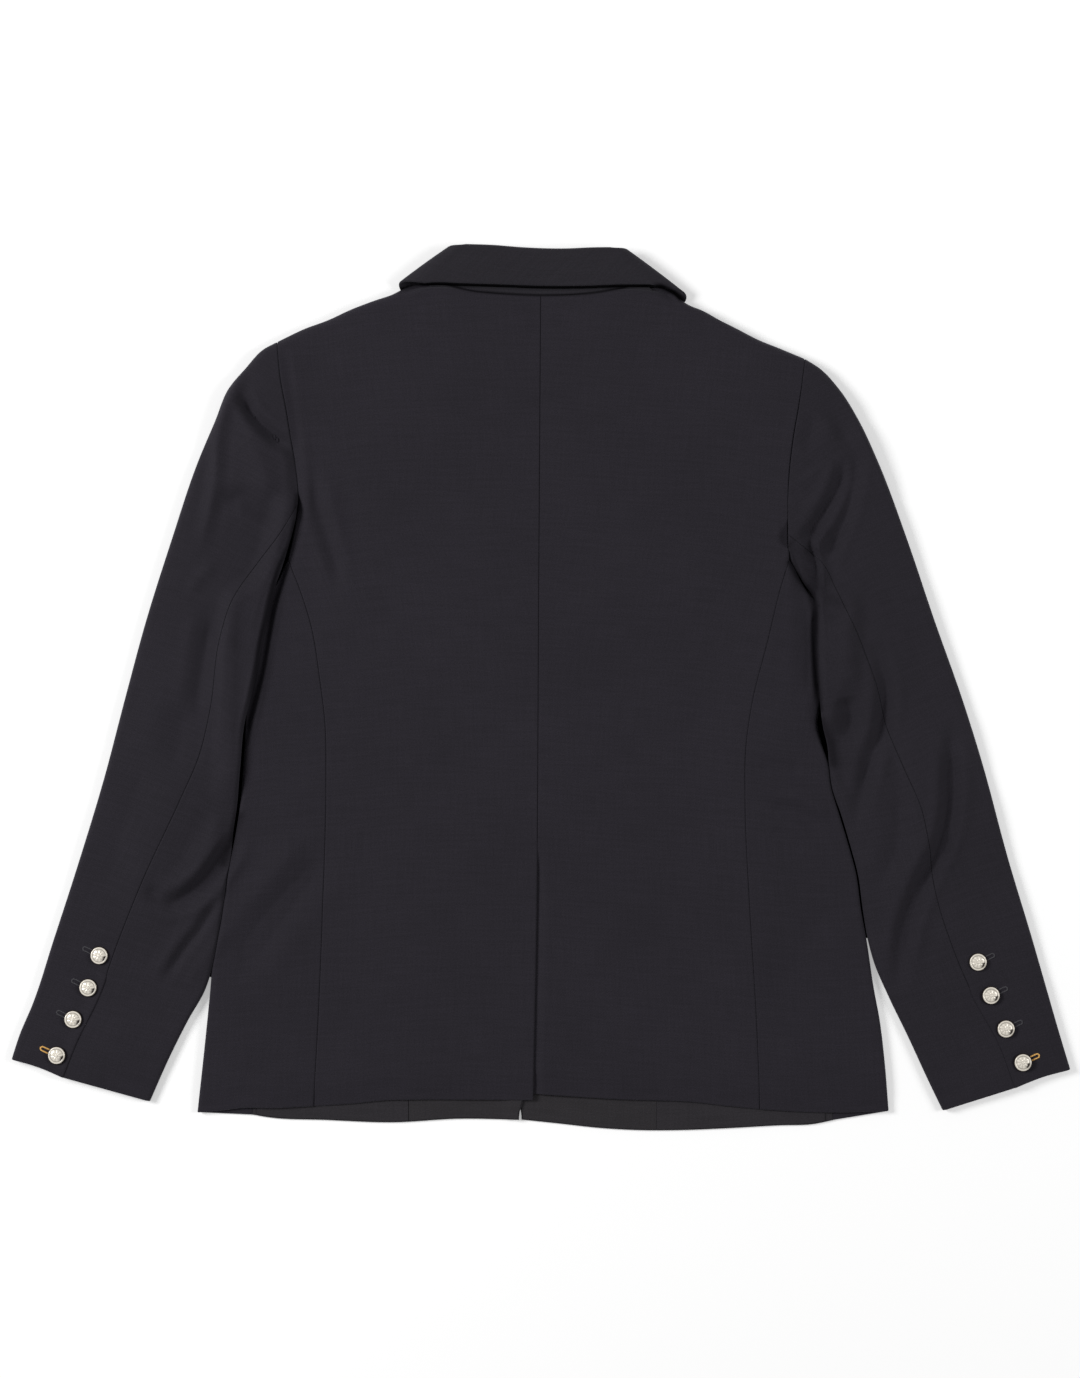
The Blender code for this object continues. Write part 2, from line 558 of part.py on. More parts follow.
def sleeve(side):
    line = OUTLINES[side]
    sign = side_sign(side)
    shares = 1 - (1 - np.linspace(0, 1, SLEEVE_ROWS + 1)) ** SLEEVE_CROWD
    folds_at = {"top": smooth_line(line["sleeve_outer"]), "under": smooth_line(line["sleeve_inner"])}
    seams_at = [at(smooth_line(line[name]), shares) for name in ("sleeve_seam", "front_seam")]
    whole_arm = joined(smooth_line(line["armpit"])[::-1], smooth_line(line["armhole"]))
    arm = joined(even(smooth_line(line["armhole"]), ARM_ROWS)[::-1], smooth_line(line["armpit"]))
    arm = even(beside(arm, sign * SEAM), 1500)
    trim = round(SEAM / np.linalg.norm(arm[1] - arm[0]) / 2) + 1

    def end_row(fold_point, seam_point, piece, columns):
        """The armhole from the fold to the seam, stopping half a seam short of the seam."""
        a, b = sorted(np.linalg.norm(arm - p, axis=1).argmin() for p in (fold_point, seam_point))
        if piece == "top":
            return even(arm[a: b - trim + 1], columns)
        return even(arm[a + trim: b + 1], columns)[::-1]

    solids = {}
    for piece in ("top", "under"):
        layers = []
        for seam_line, columns, top in zip(seams_at, SLEEVE_COLUMNS[piece], (True, False)):
            seam = beside(seam_line, sign * SEAM / 2 * (-1 if piece == "top" else 1))
            fold = at(folds_at[piece], shares)
            high = end_row(fold[-1], seam[-1], piece, columns)
            low = even(np.array([fold[0], seam[0]]), columns)
            fold[-1], seam[-1] = high[0], high[-1]
            at_fold = sleeve_pile(shares, 0.0 if piece == "top" else 1.0)
            plan = from_fold(patch(low, high, fold, seam), at_fold)
            edges = []
            for name, inside in (("top", sign), ("under", -sign)):
                far, way = distance(plan, folds_at[name], inside, past_ends=True)
                far = np.maximum(far, 0)
                if name == piece:
                    far[:, 0] = 0
                edges.append((far, way))
            across = edges[0][0] / (edges[0][0] + edges[1][0] + 1e-6)
            pile = sleeve_pile(shares[:, None], across)
            bed = sleeve_bed(side, plan)
            off, _ = distance(plan, whole_arm, sign)
            level = np.maximum(body_pile(plan) - bed, pile)
            pile = pile + (level - pile) * ease(1 - np.abs(off) / FLUSH)
            wall = np.minimum(np.clip((pile - HOLLOW) / 2, WALL, PADDED), pile / 2 - SEAM)
            outer, inner = rolled(plan, bed, pile, wall, edges, top, folds(plan))
            along = np.gradient(plan[-1], axis=0)
            along /= np.linalg.norm(along, axis=1)[:, None]
            moved = ((inner - outer)[-1, :, :2] * along).sum(axis=1)
            inner[-1, :, :2] = outer[-1, :, :2] + along * moved[:, None]
            layers.append((outer, inner))
        outer, inner = (np.concatenate([layers[0][k][:, ::-1], layers[1][k][:, 1:]], axis=1) for k in (0, 1))
        solids[piece] = outer
        wall_of_cloth(f"sleeve_{piece}_{side}", outer, inner)
    return solids["top"]


# ---- buttons ----
def button(name, diameter, thickness, x, y, z, facing=1):
    """A turned shank button: flat back, rounded rim, a shallow ring and a low dome."""
    r = diameter / 2
    profile = [(0, 1.0), (0.45, 0.90), (0.70, 0.62), (0.84, 0.70), (1.0, 0.40), (0.88, 0.0), (0, 0.0)]
    mesh = bpy.data.meshes.new(name)
    verts = [(share * r * MM, 0, high * thickness * MM) for share, high in profile]
    mesh.from_pydata(verts, [(i, i + 1) for i in range(len(verts) - 1)], [])
    thing = add_object(name, mesh, METAL_COLOUR, 1.0, 0.28)
    turn = thing.modifiers.new("turned", "SCREW")
    turn.steps = turn.render_steps = BUTTON_STEPS
    turn.use_merge_vertices = True
    turn.merge_threshold = 0.00002
    thing.location = (x * MM, y * MM, z * MM)
    thing.rotation_euler = (0, 0, 0) if facing > 0 else (math.pi, 0, 0)
    return thing


def cuff_buttons(side, sleeve_top):
    for number, (x, y) in enumerate(OUTLINES[side]["cuff_buttons"], 1):
        points = sleeve_top.reshape(-1, 3)
        upper = points[points[:, 2] > 2 * WALL]
        near = upper[np.argsort(np.hypot(upper[:, 0] - x, upper[:, 1] - y))[:4]]
        button(f"cuff_button_{side}_{number}", CUFF_BUTTON, CUFF_BUTTON_HIGH, x, y, near[:, 2].max() + LAY)


# ---- collar ----
COLLAR_ROLL = [(-62, 735.7), (-40.5, 735), (-15, 733), (19, 732), (44, 733), (57, 733.1)]
COLLAR_EDGE = [(-97, 703.3), (-88, 704), (-65.5, 703.3), (-32.5, 702.3), (2, 701.2), (35.5, 701.2), (69.5, 702.3),
               (90, 702.2)]
STAND_TOP = [(-68, 726.5), (-40, 730.5), (-15, 729), (19, 728), (44, 728.8), (63, 724.5)]
# Where the collar turns under at each shoulder: ends of the line that it turns about, on the roll and the edge,
# at the start, half way and at the end of the turn, and then the ends of the leaf that lies below
COLLAR_TURN = {
    "left": [((-62, 735.7), (-97, 703.3)), ((-70.4, 728.2), (-111.2, 693.8)), ((-69.8, 726), (-110.5, 691.5)),
             ((-62.3, 660), (-108, 639))],
    "right": [((57, 733.1), (90, 702.2)), ((65.3, 726), (112.8, 685)), ((64.5, 724), (112, 683)),
              ((54.2, 658), (106, 637))],
}
# Section of the collar leaf at its roll:  in from the roll line, below the surface, and where the wall's inner face
# is from there, as shares of the wall's thickness (along the leaf, under it)
ROLL_SECTION = [(1.9, 4.4, 0.9, 0.0), (0.0, 2.8, 1.0, 0.0), (1.0, 0.8, 0.7, 0.8), (3.6, 0.0, 0.0, 1.0)]


def collar_top(points):
    return body_pile(points) + LAYER


def collar_rows(side):
    """Rows of (roll point, edge point, turn in radians, weight of the rolled section), from the back to one side."""
    along, round_turn = COLLAR_CELLS
    if side == "back":
        rolls, edges = even(smooth_line(COLLAR_ROLL), along), even(smooth_line(COLLAR_EDGE), along)
        return [(roll, edge, 0.0, 1.0) for roll, edge in zip(rolls, edges)]
    start, half, end, tip = (np.array(pair, float) for pair in COLLAR_TURN[side])
    turning = [(*through(start, half, end, t), math.pi * t, 1 - 0.4 * t)
               for t in np.linspace(0, 1, round_turn + 1)[1:]]
    below = [(*(end + (tip - end) * t), math.pi, 0.6 * (1 - t)) for t in (0.5, 1)]
    return turning + below


def collar_section(side, roll, edge, turn, weight):
    """Outer and inner points of the leaf along one line from its roll to its edge, turned about mid height."""
    width = np.linalg.norm(edge - roll)
    down = (edge - roll) / width
    outwards = np.array((down[1], -down[0]))
    outwards *= side_sign(side) * np.sign(outwards[0])
    far, low, along, under = np.array(ROLL_SECTION).T
    flat_part = np.linspace(far[-1], width, LEAF_COLUMNS + 1)[1:]
    zeros, ones = np.zeros(LEAF_COLUMNS), np.ones(LEAF_COLUMNS)
    far, low, along, under = np.r_[far, flat_part], np.r_[low, zeros], np.r_[along, zeros], np.r_[under, ones]
    share = far / width
    top = ROLL_HEIGHT * (1 - share) + collar_top(edge) * share + ROLL_BULGE * np.sin(math.pi * share)

    def place(far, radius):
        flat = roll + down * far[:, None] + outwards * (radius * math.sin(turn))[:, None]
        return np.column_stack([flat, top / 2 + radius * math.cos(turn)])

    radius = top / 2 - low * weight
    return place(far, radius), place(far + along * WALL, radius - under * WALL)


def collar_fall():
    """The collar leaf over the neck, round each end of the shoulders and back under the fronts."""
    rows = [("left",) + row for row in collar_rows("left")[::-1]]
    rows += [("right",) + row for row in collar_rows("back") + collar_rows("right")]
    outer, inner = zip(*(collar_section(*row) for row in rows))
    return wall_of_cloth("collar_fall", np.array(outer), np.array(inner))


def collar_stand():
    neck = joined(smooth_line(OUTLINES["left"]["neck"]), smooth_line(OUTLINES["right"]["neck"])[::-1])
    low = even(neck[(neck[:, 0] > -94) & (neck[:, 0] < 94)], COLLAR_CELLS[0]) + (0, SEAM)
    high = even(smooth_line(STAND_TOP), COLLAR_CELLS[0])
    plan = patch(low, high, even(np.array([low[0], high[0]]), 3), even(np.array([low[-1], high[-1]]), 3))
    share = np.linspace(0, 1, 4)[:, None]
    z = body_pile(plan) * (1 - share) + STAND_HIGH * share
    outer = np.concatenate([plan, z[..., None]], axis=-1)
    return wall_of_cloth("collar_stand", outer, outer - (0, 0, WALL))


def centre_over_origin(collection):
    """Move everything so that the box round the blazer is centred over the origin and stands at zero."""
    bpy.context.view_layer.update()
    graph = bpy.context.evaluated_depsgraph_get()
    corners = []
    for thing in collection.objects:
        evaluated = thing.evaluated_get(graph)
        corners += [thing.matrix_world @ vert.co for vert in evaluated.to_mesh().vertices]
        evaluated.to_mesh_clear()
    corners = np.array(corners)
    low, high = corners.min(axis=0), corners.max(axis=0)
    shift = np.array((-(low[0] + high[0]) / 2, -(low[1] + high[1]) / 2, 0))
    for thing in collection.objects:
        thing.location = np.array(thing.location) + shift
    print("size, mm:", np.round((high - low) / MM, 1), "shift, mm:", np.round(shift / MM, 3), "low", low[2])


def main():
    for thing in list(bpy.data.objects):
        bpy.data.objects.remove(thing, do_unlink=True)
    blazer = bpy.data.collections.new("blazer")
    bpy.context.scene.collection.children.link(blazer)
    for side in ("left", "right"):
        back(side)
        side_panel(side)
        front(side)
        lapel(side)
        cuff_buttons(side, sleeve(side))
    collar_fall()
    collar_stand()
    button("front_button", FRONT_BUTTON, FRONT_BUTTON_HIGH, *FRONT_BUTTON_AT, FRONT_BUTTON_HIGH, facing=-1)
    centre_over_origin(blazer)


main()
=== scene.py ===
# %% [markdown]
# # A tailored blazer, laid flat and seen from its back
# A blazer is sewn from flat panels: two backs with a seam down the middle, a side panel round each side, two fronts
# with turned-back lapels, sleeves in two pieces, and a collar made of a standing band and a turned-down leaf.
# Here it lies face down, so the back is on top and the fronts are below it. One way to model that is to drape a
# cloth simulation, but pressed wool keeps the creases that it was laid down with, and a simulation would put its
# own in other places. So each panel is worked out from its outline, and its creases are set one by one.

# %% Start from the imported model
import math

import bmesh
import bpy
import numpy as np
from mathutils import Matrix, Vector
from mathutils.bvhtree import BVHTree


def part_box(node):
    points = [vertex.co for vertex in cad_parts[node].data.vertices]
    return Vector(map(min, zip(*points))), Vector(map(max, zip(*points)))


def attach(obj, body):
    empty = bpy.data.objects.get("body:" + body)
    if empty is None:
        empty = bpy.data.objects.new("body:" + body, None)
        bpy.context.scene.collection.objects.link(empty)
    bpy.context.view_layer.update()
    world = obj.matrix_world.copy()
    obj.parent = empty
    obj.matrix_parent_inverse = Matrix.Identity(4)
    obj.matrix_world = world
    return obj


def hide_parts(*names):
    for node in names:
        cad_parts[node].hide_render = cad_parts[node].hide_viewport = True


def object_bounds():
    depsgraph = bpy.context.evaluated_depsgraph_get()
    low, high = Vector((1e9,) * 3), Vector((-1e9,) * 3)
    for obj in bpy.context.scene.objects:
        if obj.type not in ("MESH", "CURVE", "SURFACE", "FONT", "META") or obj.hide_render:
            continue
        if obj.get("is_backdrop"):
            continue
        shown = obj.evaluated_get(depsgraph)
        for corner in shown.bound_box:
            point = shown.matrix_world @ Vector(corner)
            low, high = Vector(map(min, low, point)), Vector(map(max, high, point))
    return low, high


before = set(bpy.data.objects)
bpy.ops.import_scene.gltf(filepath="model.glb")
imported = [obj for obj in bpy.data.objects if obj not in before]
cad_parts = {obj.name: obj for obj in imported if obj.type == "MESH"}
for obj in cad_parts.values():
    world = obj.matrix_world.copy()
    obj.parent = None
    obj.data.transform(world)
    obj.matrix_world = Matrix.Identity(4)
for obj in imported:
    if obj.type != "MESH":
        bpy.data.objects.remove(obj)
cad_low, cad_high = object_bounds()
MM = 0.001
print("packed blazer, mm:", [round(length / MM, 1) for length in cad_high - cad_low])

# %% [markdown]
# ## The pattern as it lies
# The outlines are in millimetres from the middle of the back and its hem: X to the right, Y up to the collar.
# Each line runs from the hem or cuff upwards, or from the outside inwards. A pattern cutter would draw them as
# curves through a few points, and so does this script.

# %% Outlines of each half
OUTLINES = {
    "left": {
        "side_fold": [(-285.5, 15), (-278, 85), (-274.6, 120), (-273.4, 135), (-266.4, 173), (-261, 208),
            (-253.2, 250), (-250.2, 269), (-247.2, 305), (-245.5, 341), (-245.5, 387), (-244, 432)],
        "side_seam": [(-189, 20), (-185, 92), (-181, 192), (-178.5, 291), (-179.5, 341), (-183.5, 374), (-191, 420),
            (-200, 449), (-210, 474)],
        "under_seam": [(-240, 13), (-231.5, 125), (-221, 233), (-214, 324), (-216.5, 391), (-227, 444)],
        "armpit": [(-210, 474), (-227, 444), (-244, 432)],
        "armhole": [(-210, 474), (-203.5, 507), (-201.5, 528), (-203.5, 549), (-207.5, 573), (-211.5, 598),
            (-216, 623), (-219, 655)],
        "shoulder": [(-219, 655), (-196, 666), (-177, 673), (-158.5, 681.5), (-136, 690), (-124, 694), (-114, 699),
            (-107, 701.5), (-100, 703.5)],
        "neck": [(-100, 703.5), (-76, 702), (-57, 698.5), (-32, 695), (0, 693)],
        "hem_back": [(-189, 20), (-158.5, 22), (-129, 25), (-99, 25.5), (-58, 25.5), (-6.6, 25.2)],
        "hem_side": [(-285.5, 15), (-265.5, 16.5), (-250, 18.5), (-219, 18.5), (-189, 20)],
        "hem_front": [(-240, 13), (-229, 11), (-179, 8.5), (-123, 6.5), (-68, 9.5), (-18.2, 8.7)],
        "front_edge": [(-18.2, 8.7), (-18, 14.5), (-16.6, 18.5), (-10, 60), (-1, 120), (0, 200), (0, 320),
            (-61.8, 659)],
        "lapel_edge": [(-20.5, 388), (-68, 420), (-114, 520), (-132, 612)],
        "lapel_top": [(-132, 612), (-100, 630), (-63, 655)],
        "lapel_side": [(-13.2, 390), (-61.8, 655)],
        "sleeve_outer": [(-440, 59), (-433.5, 79), (-422.5, 105), (-405, 158.5), (-383.5, 225), (-363.5, 291),
            (-346, 357.5), (-328, 424), (-307, 490.5), (-284.5, 557), (-270.5, 590), (-260, 615.5), (-245, 633.5),
            (-231, 648.5), (-219, 655)],
        "sleeve_seam": [(-398, 44.3), (-385.5, 75.5), (-369, 108.5), (-350.5, 158.5), (-330.5, 208), (-299.5, 274.5),
            (-284, 310.5), (-274.5, 349.5), (-266.5, 407.5), (-255.5, 441), (-233, 474), (-216, 496), (-202.4, 519)],
        "sleeve_inner": [(-325, 24), (-309.5, 59), (-293, 92), (-279, 117), (-273.2, 135), (-266, 173), (-262, 200),
            (-260.9, 209), (-259.4, 218), (-257.2, 232), (-255.8, 247), (-252.6, 269), (-249.6, 300), (-245.3, 341),
            (-241, 358.6), (-235.9, 381), (-230, 412.5), (-222.6, 445), (-213.6, 471), (-207, 493), (-203.4, 507)],
        "front_seam": [(-341, 29), (-308, 92), (-292, 140), (-280, 208), (-272, 287), (-264, 341), (-250, 407.5),
            (-236, 449), (-215, 500), (-202.1, 532)],
        "sleeve_climbs": 300,
        "cuff_buttons": [(-366.7, 145.6), (-375.9, 118.9), (-388.4, 92.6), (-402.0, 62.7)],
    },
    "right": {
        "side_fold": [(289, 16), (285.5, 59), (281.5, 92), (276.5, 119), (270.8, 157), (266, 183.4), (261.8, 214),
            (256, 235.7), (247.5, 264), (241.2, 285.5), (238.6, 305), (233.4, 321), (229.6, 338), (233, 356),
            (240, 376), (243, 400), (244, 432)],
        "side_seam": [(182, 17.5), (179, 92), (173.5, 183), (169.5, 275), (170, 316), (175, 353.5), (188.5, 407.5),
            (198.5, 449), (206, 474)],
        "under_seam": [(243, 8.5), (233, 125), (220, 233), (209, 308), (215, 383), (228, 441)],
        "armpit": [(206, 474), (228, 441), (244, 432)],
        "armhole": [(206, 474), (205, 499), (205, 524), (206.5, 549), (210, 578), (213.5, 598), (216.5, 619),
            (219, 641)],
        "shoulder": [(219, 641), (198.5, 649.5), (180, 657), (164.5, 665), (148.5, 673), (133, 681.5), (124, 685),
            (118, 688.5), (112, 694.5), (104, 699)],
        "neck": [(104, 699), (75, 699.5), (52, 696.5), (27.5, 693.5), (0, 693)],
        "hem_back": [(182, 17.5), (157, 20), (127, 23.5), (72, 25.5), (29, 28), (-6.6, 30.5)],
        "hem_side": [(289, 16), (258, 15), (220, 15.2), (182, 17.5)],
        "hem_front": [(243, 8.3), (226.5, 5), (199, 4), (157, 1.7), (114.5, 0), (82, 0), (50.5, 1.7), (12.5, 5.8),
            (-16.2, 8.8)],
        "front_edge": [(-16.2, 8.8), (-16.4, 14.5), (-17.4, 18.5), (-21, 60), (-24, 120), (-24, 200), (-24, 320),
            (53.5, 657)],
        "lapel_edge": [(-14, 323), (-2, 330), (66, 420), (112, 520), (130, 612)],
        "lapel_top": [(130, 612), (98, 630), (54.5, 653)],
        "lapel_side": [(-22.5, 325), (53, 653)],
        "sleeve_outer": [(440, 50.6), (431.4, 79), (420, 118.5), (408.5, 158.5), (388.5, 225), (366, 308),
            (350.5, 357.5), (327, 424), (304.5, 490.5), (279.5, 557), (264, 590), (248, 615.5), (231, 633.5),
            (219, 641)],
        "sleeve_seam": [(395, 35.8), (380, 75), (361, 108.5), (339.5, 158.5), (327, 200), (322, 237.5), (316, 266.5),
            (302, 299.5), (288, 333), (277, 374.5), (259, 420), (245, 449), (233, 472), (219, 484), (205.2, 494.5)],
        "sleeve_inner": [(334, 16.4), (323, 39), (304.5, 79), (288.5, 112), (276.6, 140), (271.6, 158.5),
            (267.5, 183.4), (263.2, 214), (257.4, 235.7), (249, 264), (241.6, 285.5), (239.4, 302), (238, 318),
            (233.8, 336), (231.6, 354), (231, 380), (230.6, 407.5), (229.6, 430), (226.3, 443.2), (220, 452.3),
            (213, 462.6), (206.9, 472.2), (205.3, 484)],
        "front_seam": [(350, 24), (320, 79), (299, 130), (285, 192), (272, 250), (262, 304), (252, 374.5), (238, 440),
            (216, 480), (205.2, 508)],
        "sleeve_climbs": 335,
        "cuff_buttons": [(362.8, 140.2), (373.6, 112.5), (386.0, 84.7), (400.1, 56.8)],
    },
}
CENTRE_BACK = [(-6.6, 26), (-3.3, 202), (-1.7, 440), (0, 693)]
VENT_TOP = 202          # top of the centre vent, from the hem line
UNDERLAP = 35           # width of the vent's underlap
LAPEL_BEDS = {
    "left": [(-8, 372), (-20.5, 386), (-68, 418), (-114, 519), (-133, 612), (-126, 650), (-118, 696), (-118, 760)],
    "right": [(-26, 315), (-14, 320), (66, 418), (112, 519), (131, 612), (126, 645), (119, 688), (119, 760)],
}
FRONT_BUTTON_AT = (-12, 298)

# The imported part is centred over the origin, so a known button tells how far the pattern was moved.
known = np.array(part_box("cuff_button_left_4")) / MM
MOVED = known.mean(axis=0)[:2] - OUTLINES["left"]["cuff_buttons"][3]
print("pattern moved by, mm:", MOVED.round(2))

# %% [markdown]
# ## How thick the pile of cloth is
# Seen from the side, a laid blazer is a low pile. It is about six millimetres at the folded sides, more where layers
# cross in the middle, and most at the padded shoulders. These rows give that height from hem to shoulder, and from
# cuff to sleeve head, and everything that lies on something else uses them.

# %% Heights of the pile
WALL = 1.8              # cloth with its lining
LAY = 0.35              # between layers that lie on each other
LAYER = WALL + LAY
LEAST_PILE = 2 * WALL + 0.3     # what the deepest crease leaves
BUTTON_GAP = 3.35       # what the front button below lifts the fronts by

# y, half width, height at the fold, half way, at the centre
BODY_PILE = [
    (0, 287, 6.2, 6.9, 8.5),
    (130, 271, 6.2, 6.9, 8.7),
    (200, 262, 6.2, 7.0, 10.0),
    (298, 245, 6.3, 7.4, 10.8),
    (400, 244, 6.5, 8.0, 9.4),
    (450, 235, 6.9, 8.8, 9.4),
    (510, 206, 8.8, 9.9, 9.6),
    (580, 210, 11.0, 11.4, 10.2),
    (650, 219, 13.0, 12.6, 10.8),
    (740, 219, 13.0, 12.8, 11.0),
]
SLEEVE_LENGTH = 620
# mm from the cuff, height at the outer fold, in the middle, at the inner fold
SLEEVE_PILE = [
    (0, 6.4, 6.6, 6.4),
    (124, 6.6, 7.8, 6.4),
    (200, 7.0, 9.6, 6.8),
    (279, 7.4, 10.8, 7.0),
    (434, 8.0, 11.2, 6.6),
    (546, 9.6, 11.6, 6.0),
    (620, 13.0, 11.4, 4.8),
]
# How cloth climbs onto what lies below: how far off the slope ends, and how long it is
LAPEL_RISE = (48, 14)
BUTTON_RISE = {"left": (128, 60), "right": (110, 60)}
OVERLAP_RISE = (15, 10)
SLEEVE_RISE = (28, 20)
CLIMB = 36
FLUSH = 30              # beside the armhole, where the sleeve comes level with the body
ARMPIT_SINK = {"left": 0, "right": 17}       # how near the armpit the sleeve comes down beside the body

# %% [markdown]
# ## The creases
# Creases tell how a garment was laid down. The sleeves were swung down beside the body, so the cloth buckles in a
# deep crease across each sleeve head and in a fan of folds above each armpit, and once more at each elbow. A crease
# is a soft trough along a short line, and the cloth beside it often stands a little proud, which catches the light.
# Each row below is one of them. Noise alone would give folds of one size all over, which pressed wool doesn't have.

# %% Table of creases
# The line that each follows, its half width, its height (negative is a trough), and for some a lean. A lean over 0
# makes a crease steeper on the right of its line, and one under 0 on the left.
CREASES = [
    # left sleeve's head
    ([(-247, 609), (-241, 597), (-230, 584), (-220, 575), (-208, 568)], 4.6, -7.8),
    ([(-250, 634), (-254, 615), (-262, 598), (-268, 574), (-270, 540), (-275, 514), (-281, 490)], 5.0, 2.9),
    ([(-245, 585), (-234, 560), (-228, 540), (-230, 528)], 9.0, 2.1),
    ([(-262, 520), (-250, 526), (-236, 519), (-216, 509)], 7.0, -4.4),
    ([(-213, 648), (-205, 600), (-200, 560)], 3.0, -1.2),
    ([(-207, 575), (-203, 549), (-202, 524), (-204, 507)], 4.6, -3.4),
    ([(-204, 507), (-212, 474), (-222, 440)], 5.0, -1.4),
    ([(-212, 470), (-220.6, 445), (-227.6, 412.5), (-233.4, 381), (-238.4, 358.6), (-242.6, 341), (-246, 322)],
     2.7, -3.8),
    ([(-222, 470), (-236, 430), (-240, 380), (-244, 330)], 6.0, 1.0),
    # left sleeve below the elbow
    ([(-272, 470), (-281, 461), (-290, 448)], 5.0, 1.2),
    ([(-274, 425), (-281, 387), (-286, 350)], 7.5, -3.4),
    ([(-258, 440), (-263, 391), (-266, 340), (-270, 300)], 8.0, 2.6),
    ([(-296, 350), (-304, 305)], 11.6, -2.0),
    ([(-257, 236), (-266, 221), (-277, 207), (-290, 195.5), (-304, 189)], 6.0, -9.5),
    ([(-262, 250), (-276, 230), (-290, 214), (-308, 204)], 6.5, 2.4),
    ([(-300, 188), (-315, 190), (-325, 203)], 6.0, -3.1),
    ([(-264, 262), (-277, 240), (-291, 222)], 7.0, 2.6),
    ([(-270, 190), (-283, 168), (-297, 150), (-311, 128)], 3.6, -3.0),
    ([(-262, 165), (-280, 141), (-292, 124)], 5.5, 1.2),
    ([(-284, 182), (-302, 158), (-320, 130)], 5.0, 1.2),
    ([(-330, 300), (-348, 250), (-362, 200)], 14.0, -1.7),
    # under the collar's edge
    ([(-114, 696), (-104, 699.8), (-94, 701.6), (-80, 702), (-64, 701)], 2.3, -5.6),
    ([(60, 700.6), (76, 700.6), (90, 699.6), (101, 696), (112, 689)], 2.3, -5.6),
    # back and sides
    ([(-190, 546), (-185, 520), (-178, 495), (-171, 472), (-168, 456)], 5.4, -3.6),
    ([(-176, 540), (-171, 510), (-163, 480)], 7.0, 1.0),
    ([(-180, 226), (-208, 195), (-232, 163), (-250, 136)], 12.0, -3.4),
    ([(-196, 240), (-222, 212), (-248, 180)], 11.0, 1.2),
    ([(238, 262), (222, 274), (205, 279)], 4.4, 1.6),
    ([(231, 250), (213, 263), (192, 270)], 5.4, -2.7),
    ([(217, 231), (192, 250)], 7.5, -1.7),
    ([(217, 301), (182, 303)], 5.5, -1.5),
    ([(236, 180), (205, 130), (190, 90)], 16.0, -2.0),
    # right sleeve's head
    ([(262, 598), (252, 580), (244, 556)], 8.0, -1.2),
    ([(252, 556), (246, 534), (236, 515), (226, 499), (216, 487)], 5.2, -7.1),
    ([(262, 560), (259, 535), (252, 510), (243, 489), (236, 470)], 5.5, -4.8),
    ([(236, 500), (231, 490), (226, 481)], 3.4, 2.1),
    ([(211, 490), (218, 472), (225, 453)], 8.0, -4.5),
    ([(225, 447), (228, 434), (229, 407), (230, 380), (231.6, 358)], 2.6, -3.6),
    ([(222, 436), (223, 400), (221, 366)], 7.5, -2.2),
    ([(223, 490), (226, 474), (228, 444)], 6.5, -6.5, -0.55),
    ([(236, 478), (234, 455), (233, 430)], 4.0, 1.8),
    ([(226, 592), (221, 564)], 7.0, -2.4),
    ([(211, 566), (220, 560), (231, 563)], 3.2, 1.2),
    ([(209, 555), (219, 551), (228, 555)], 3.0, -1.7),
    ([(209, 544), (219, 541), (228, 546)], 3.2, 1.2),
    ([(208, 532), (217, 528), (227, 532)], 3.0, -1.5),
    ([(208, 520), (216, 517), (224, 520)], 3.2, 0.9),
    ([(243, 621), (254, 605), (266, 583), (278, 557), (288, 530)], 3.6, 2.1),
    ([(235, 606), (246, 590), (258, 566), (268, 540)], 5.5, -2.4),
    # right sleeve's elbow
    ([(252, 420), (258, 390), (262, 360), (258, 330)], 9.0, 1.3),
    ([(251, 360), (255, 342), (250, 326)], 8.5, -6.2),
    ([(280, 396), (286, 368), (283, 337), (273, 308), (266, 282), (262, 258)], 6.0, -6.0),
    ([(286, 350), (290, 320), (296, 290), (297, 256), (292, 226), (281, 204)], 8.0, -3.1),
    ([(341, 330), (340, 299), (339, 265), (333, 240), (325, 222), (314, 200), (305, 178), (300, 154), (297, 125)],
     6.2, -7.1),
    ([(352, 315), (352, 280), (348, 248)], 7.0, 1.6),
    ([(324, 192), (316, 170), (311, 145)], 6.0, 1.4),
    ([(318, 240), (308, 222), (297, 208)], 6.5, 1.6),
    ([(339, 246), (334, 230)], 4.2, -2.7),
    ([(243, 330), (251, 304), (256, 276)], 5.5, -2.7),
    ([(305, 420), (318, 380), (334, 340)], 13.0, -2.0),
]
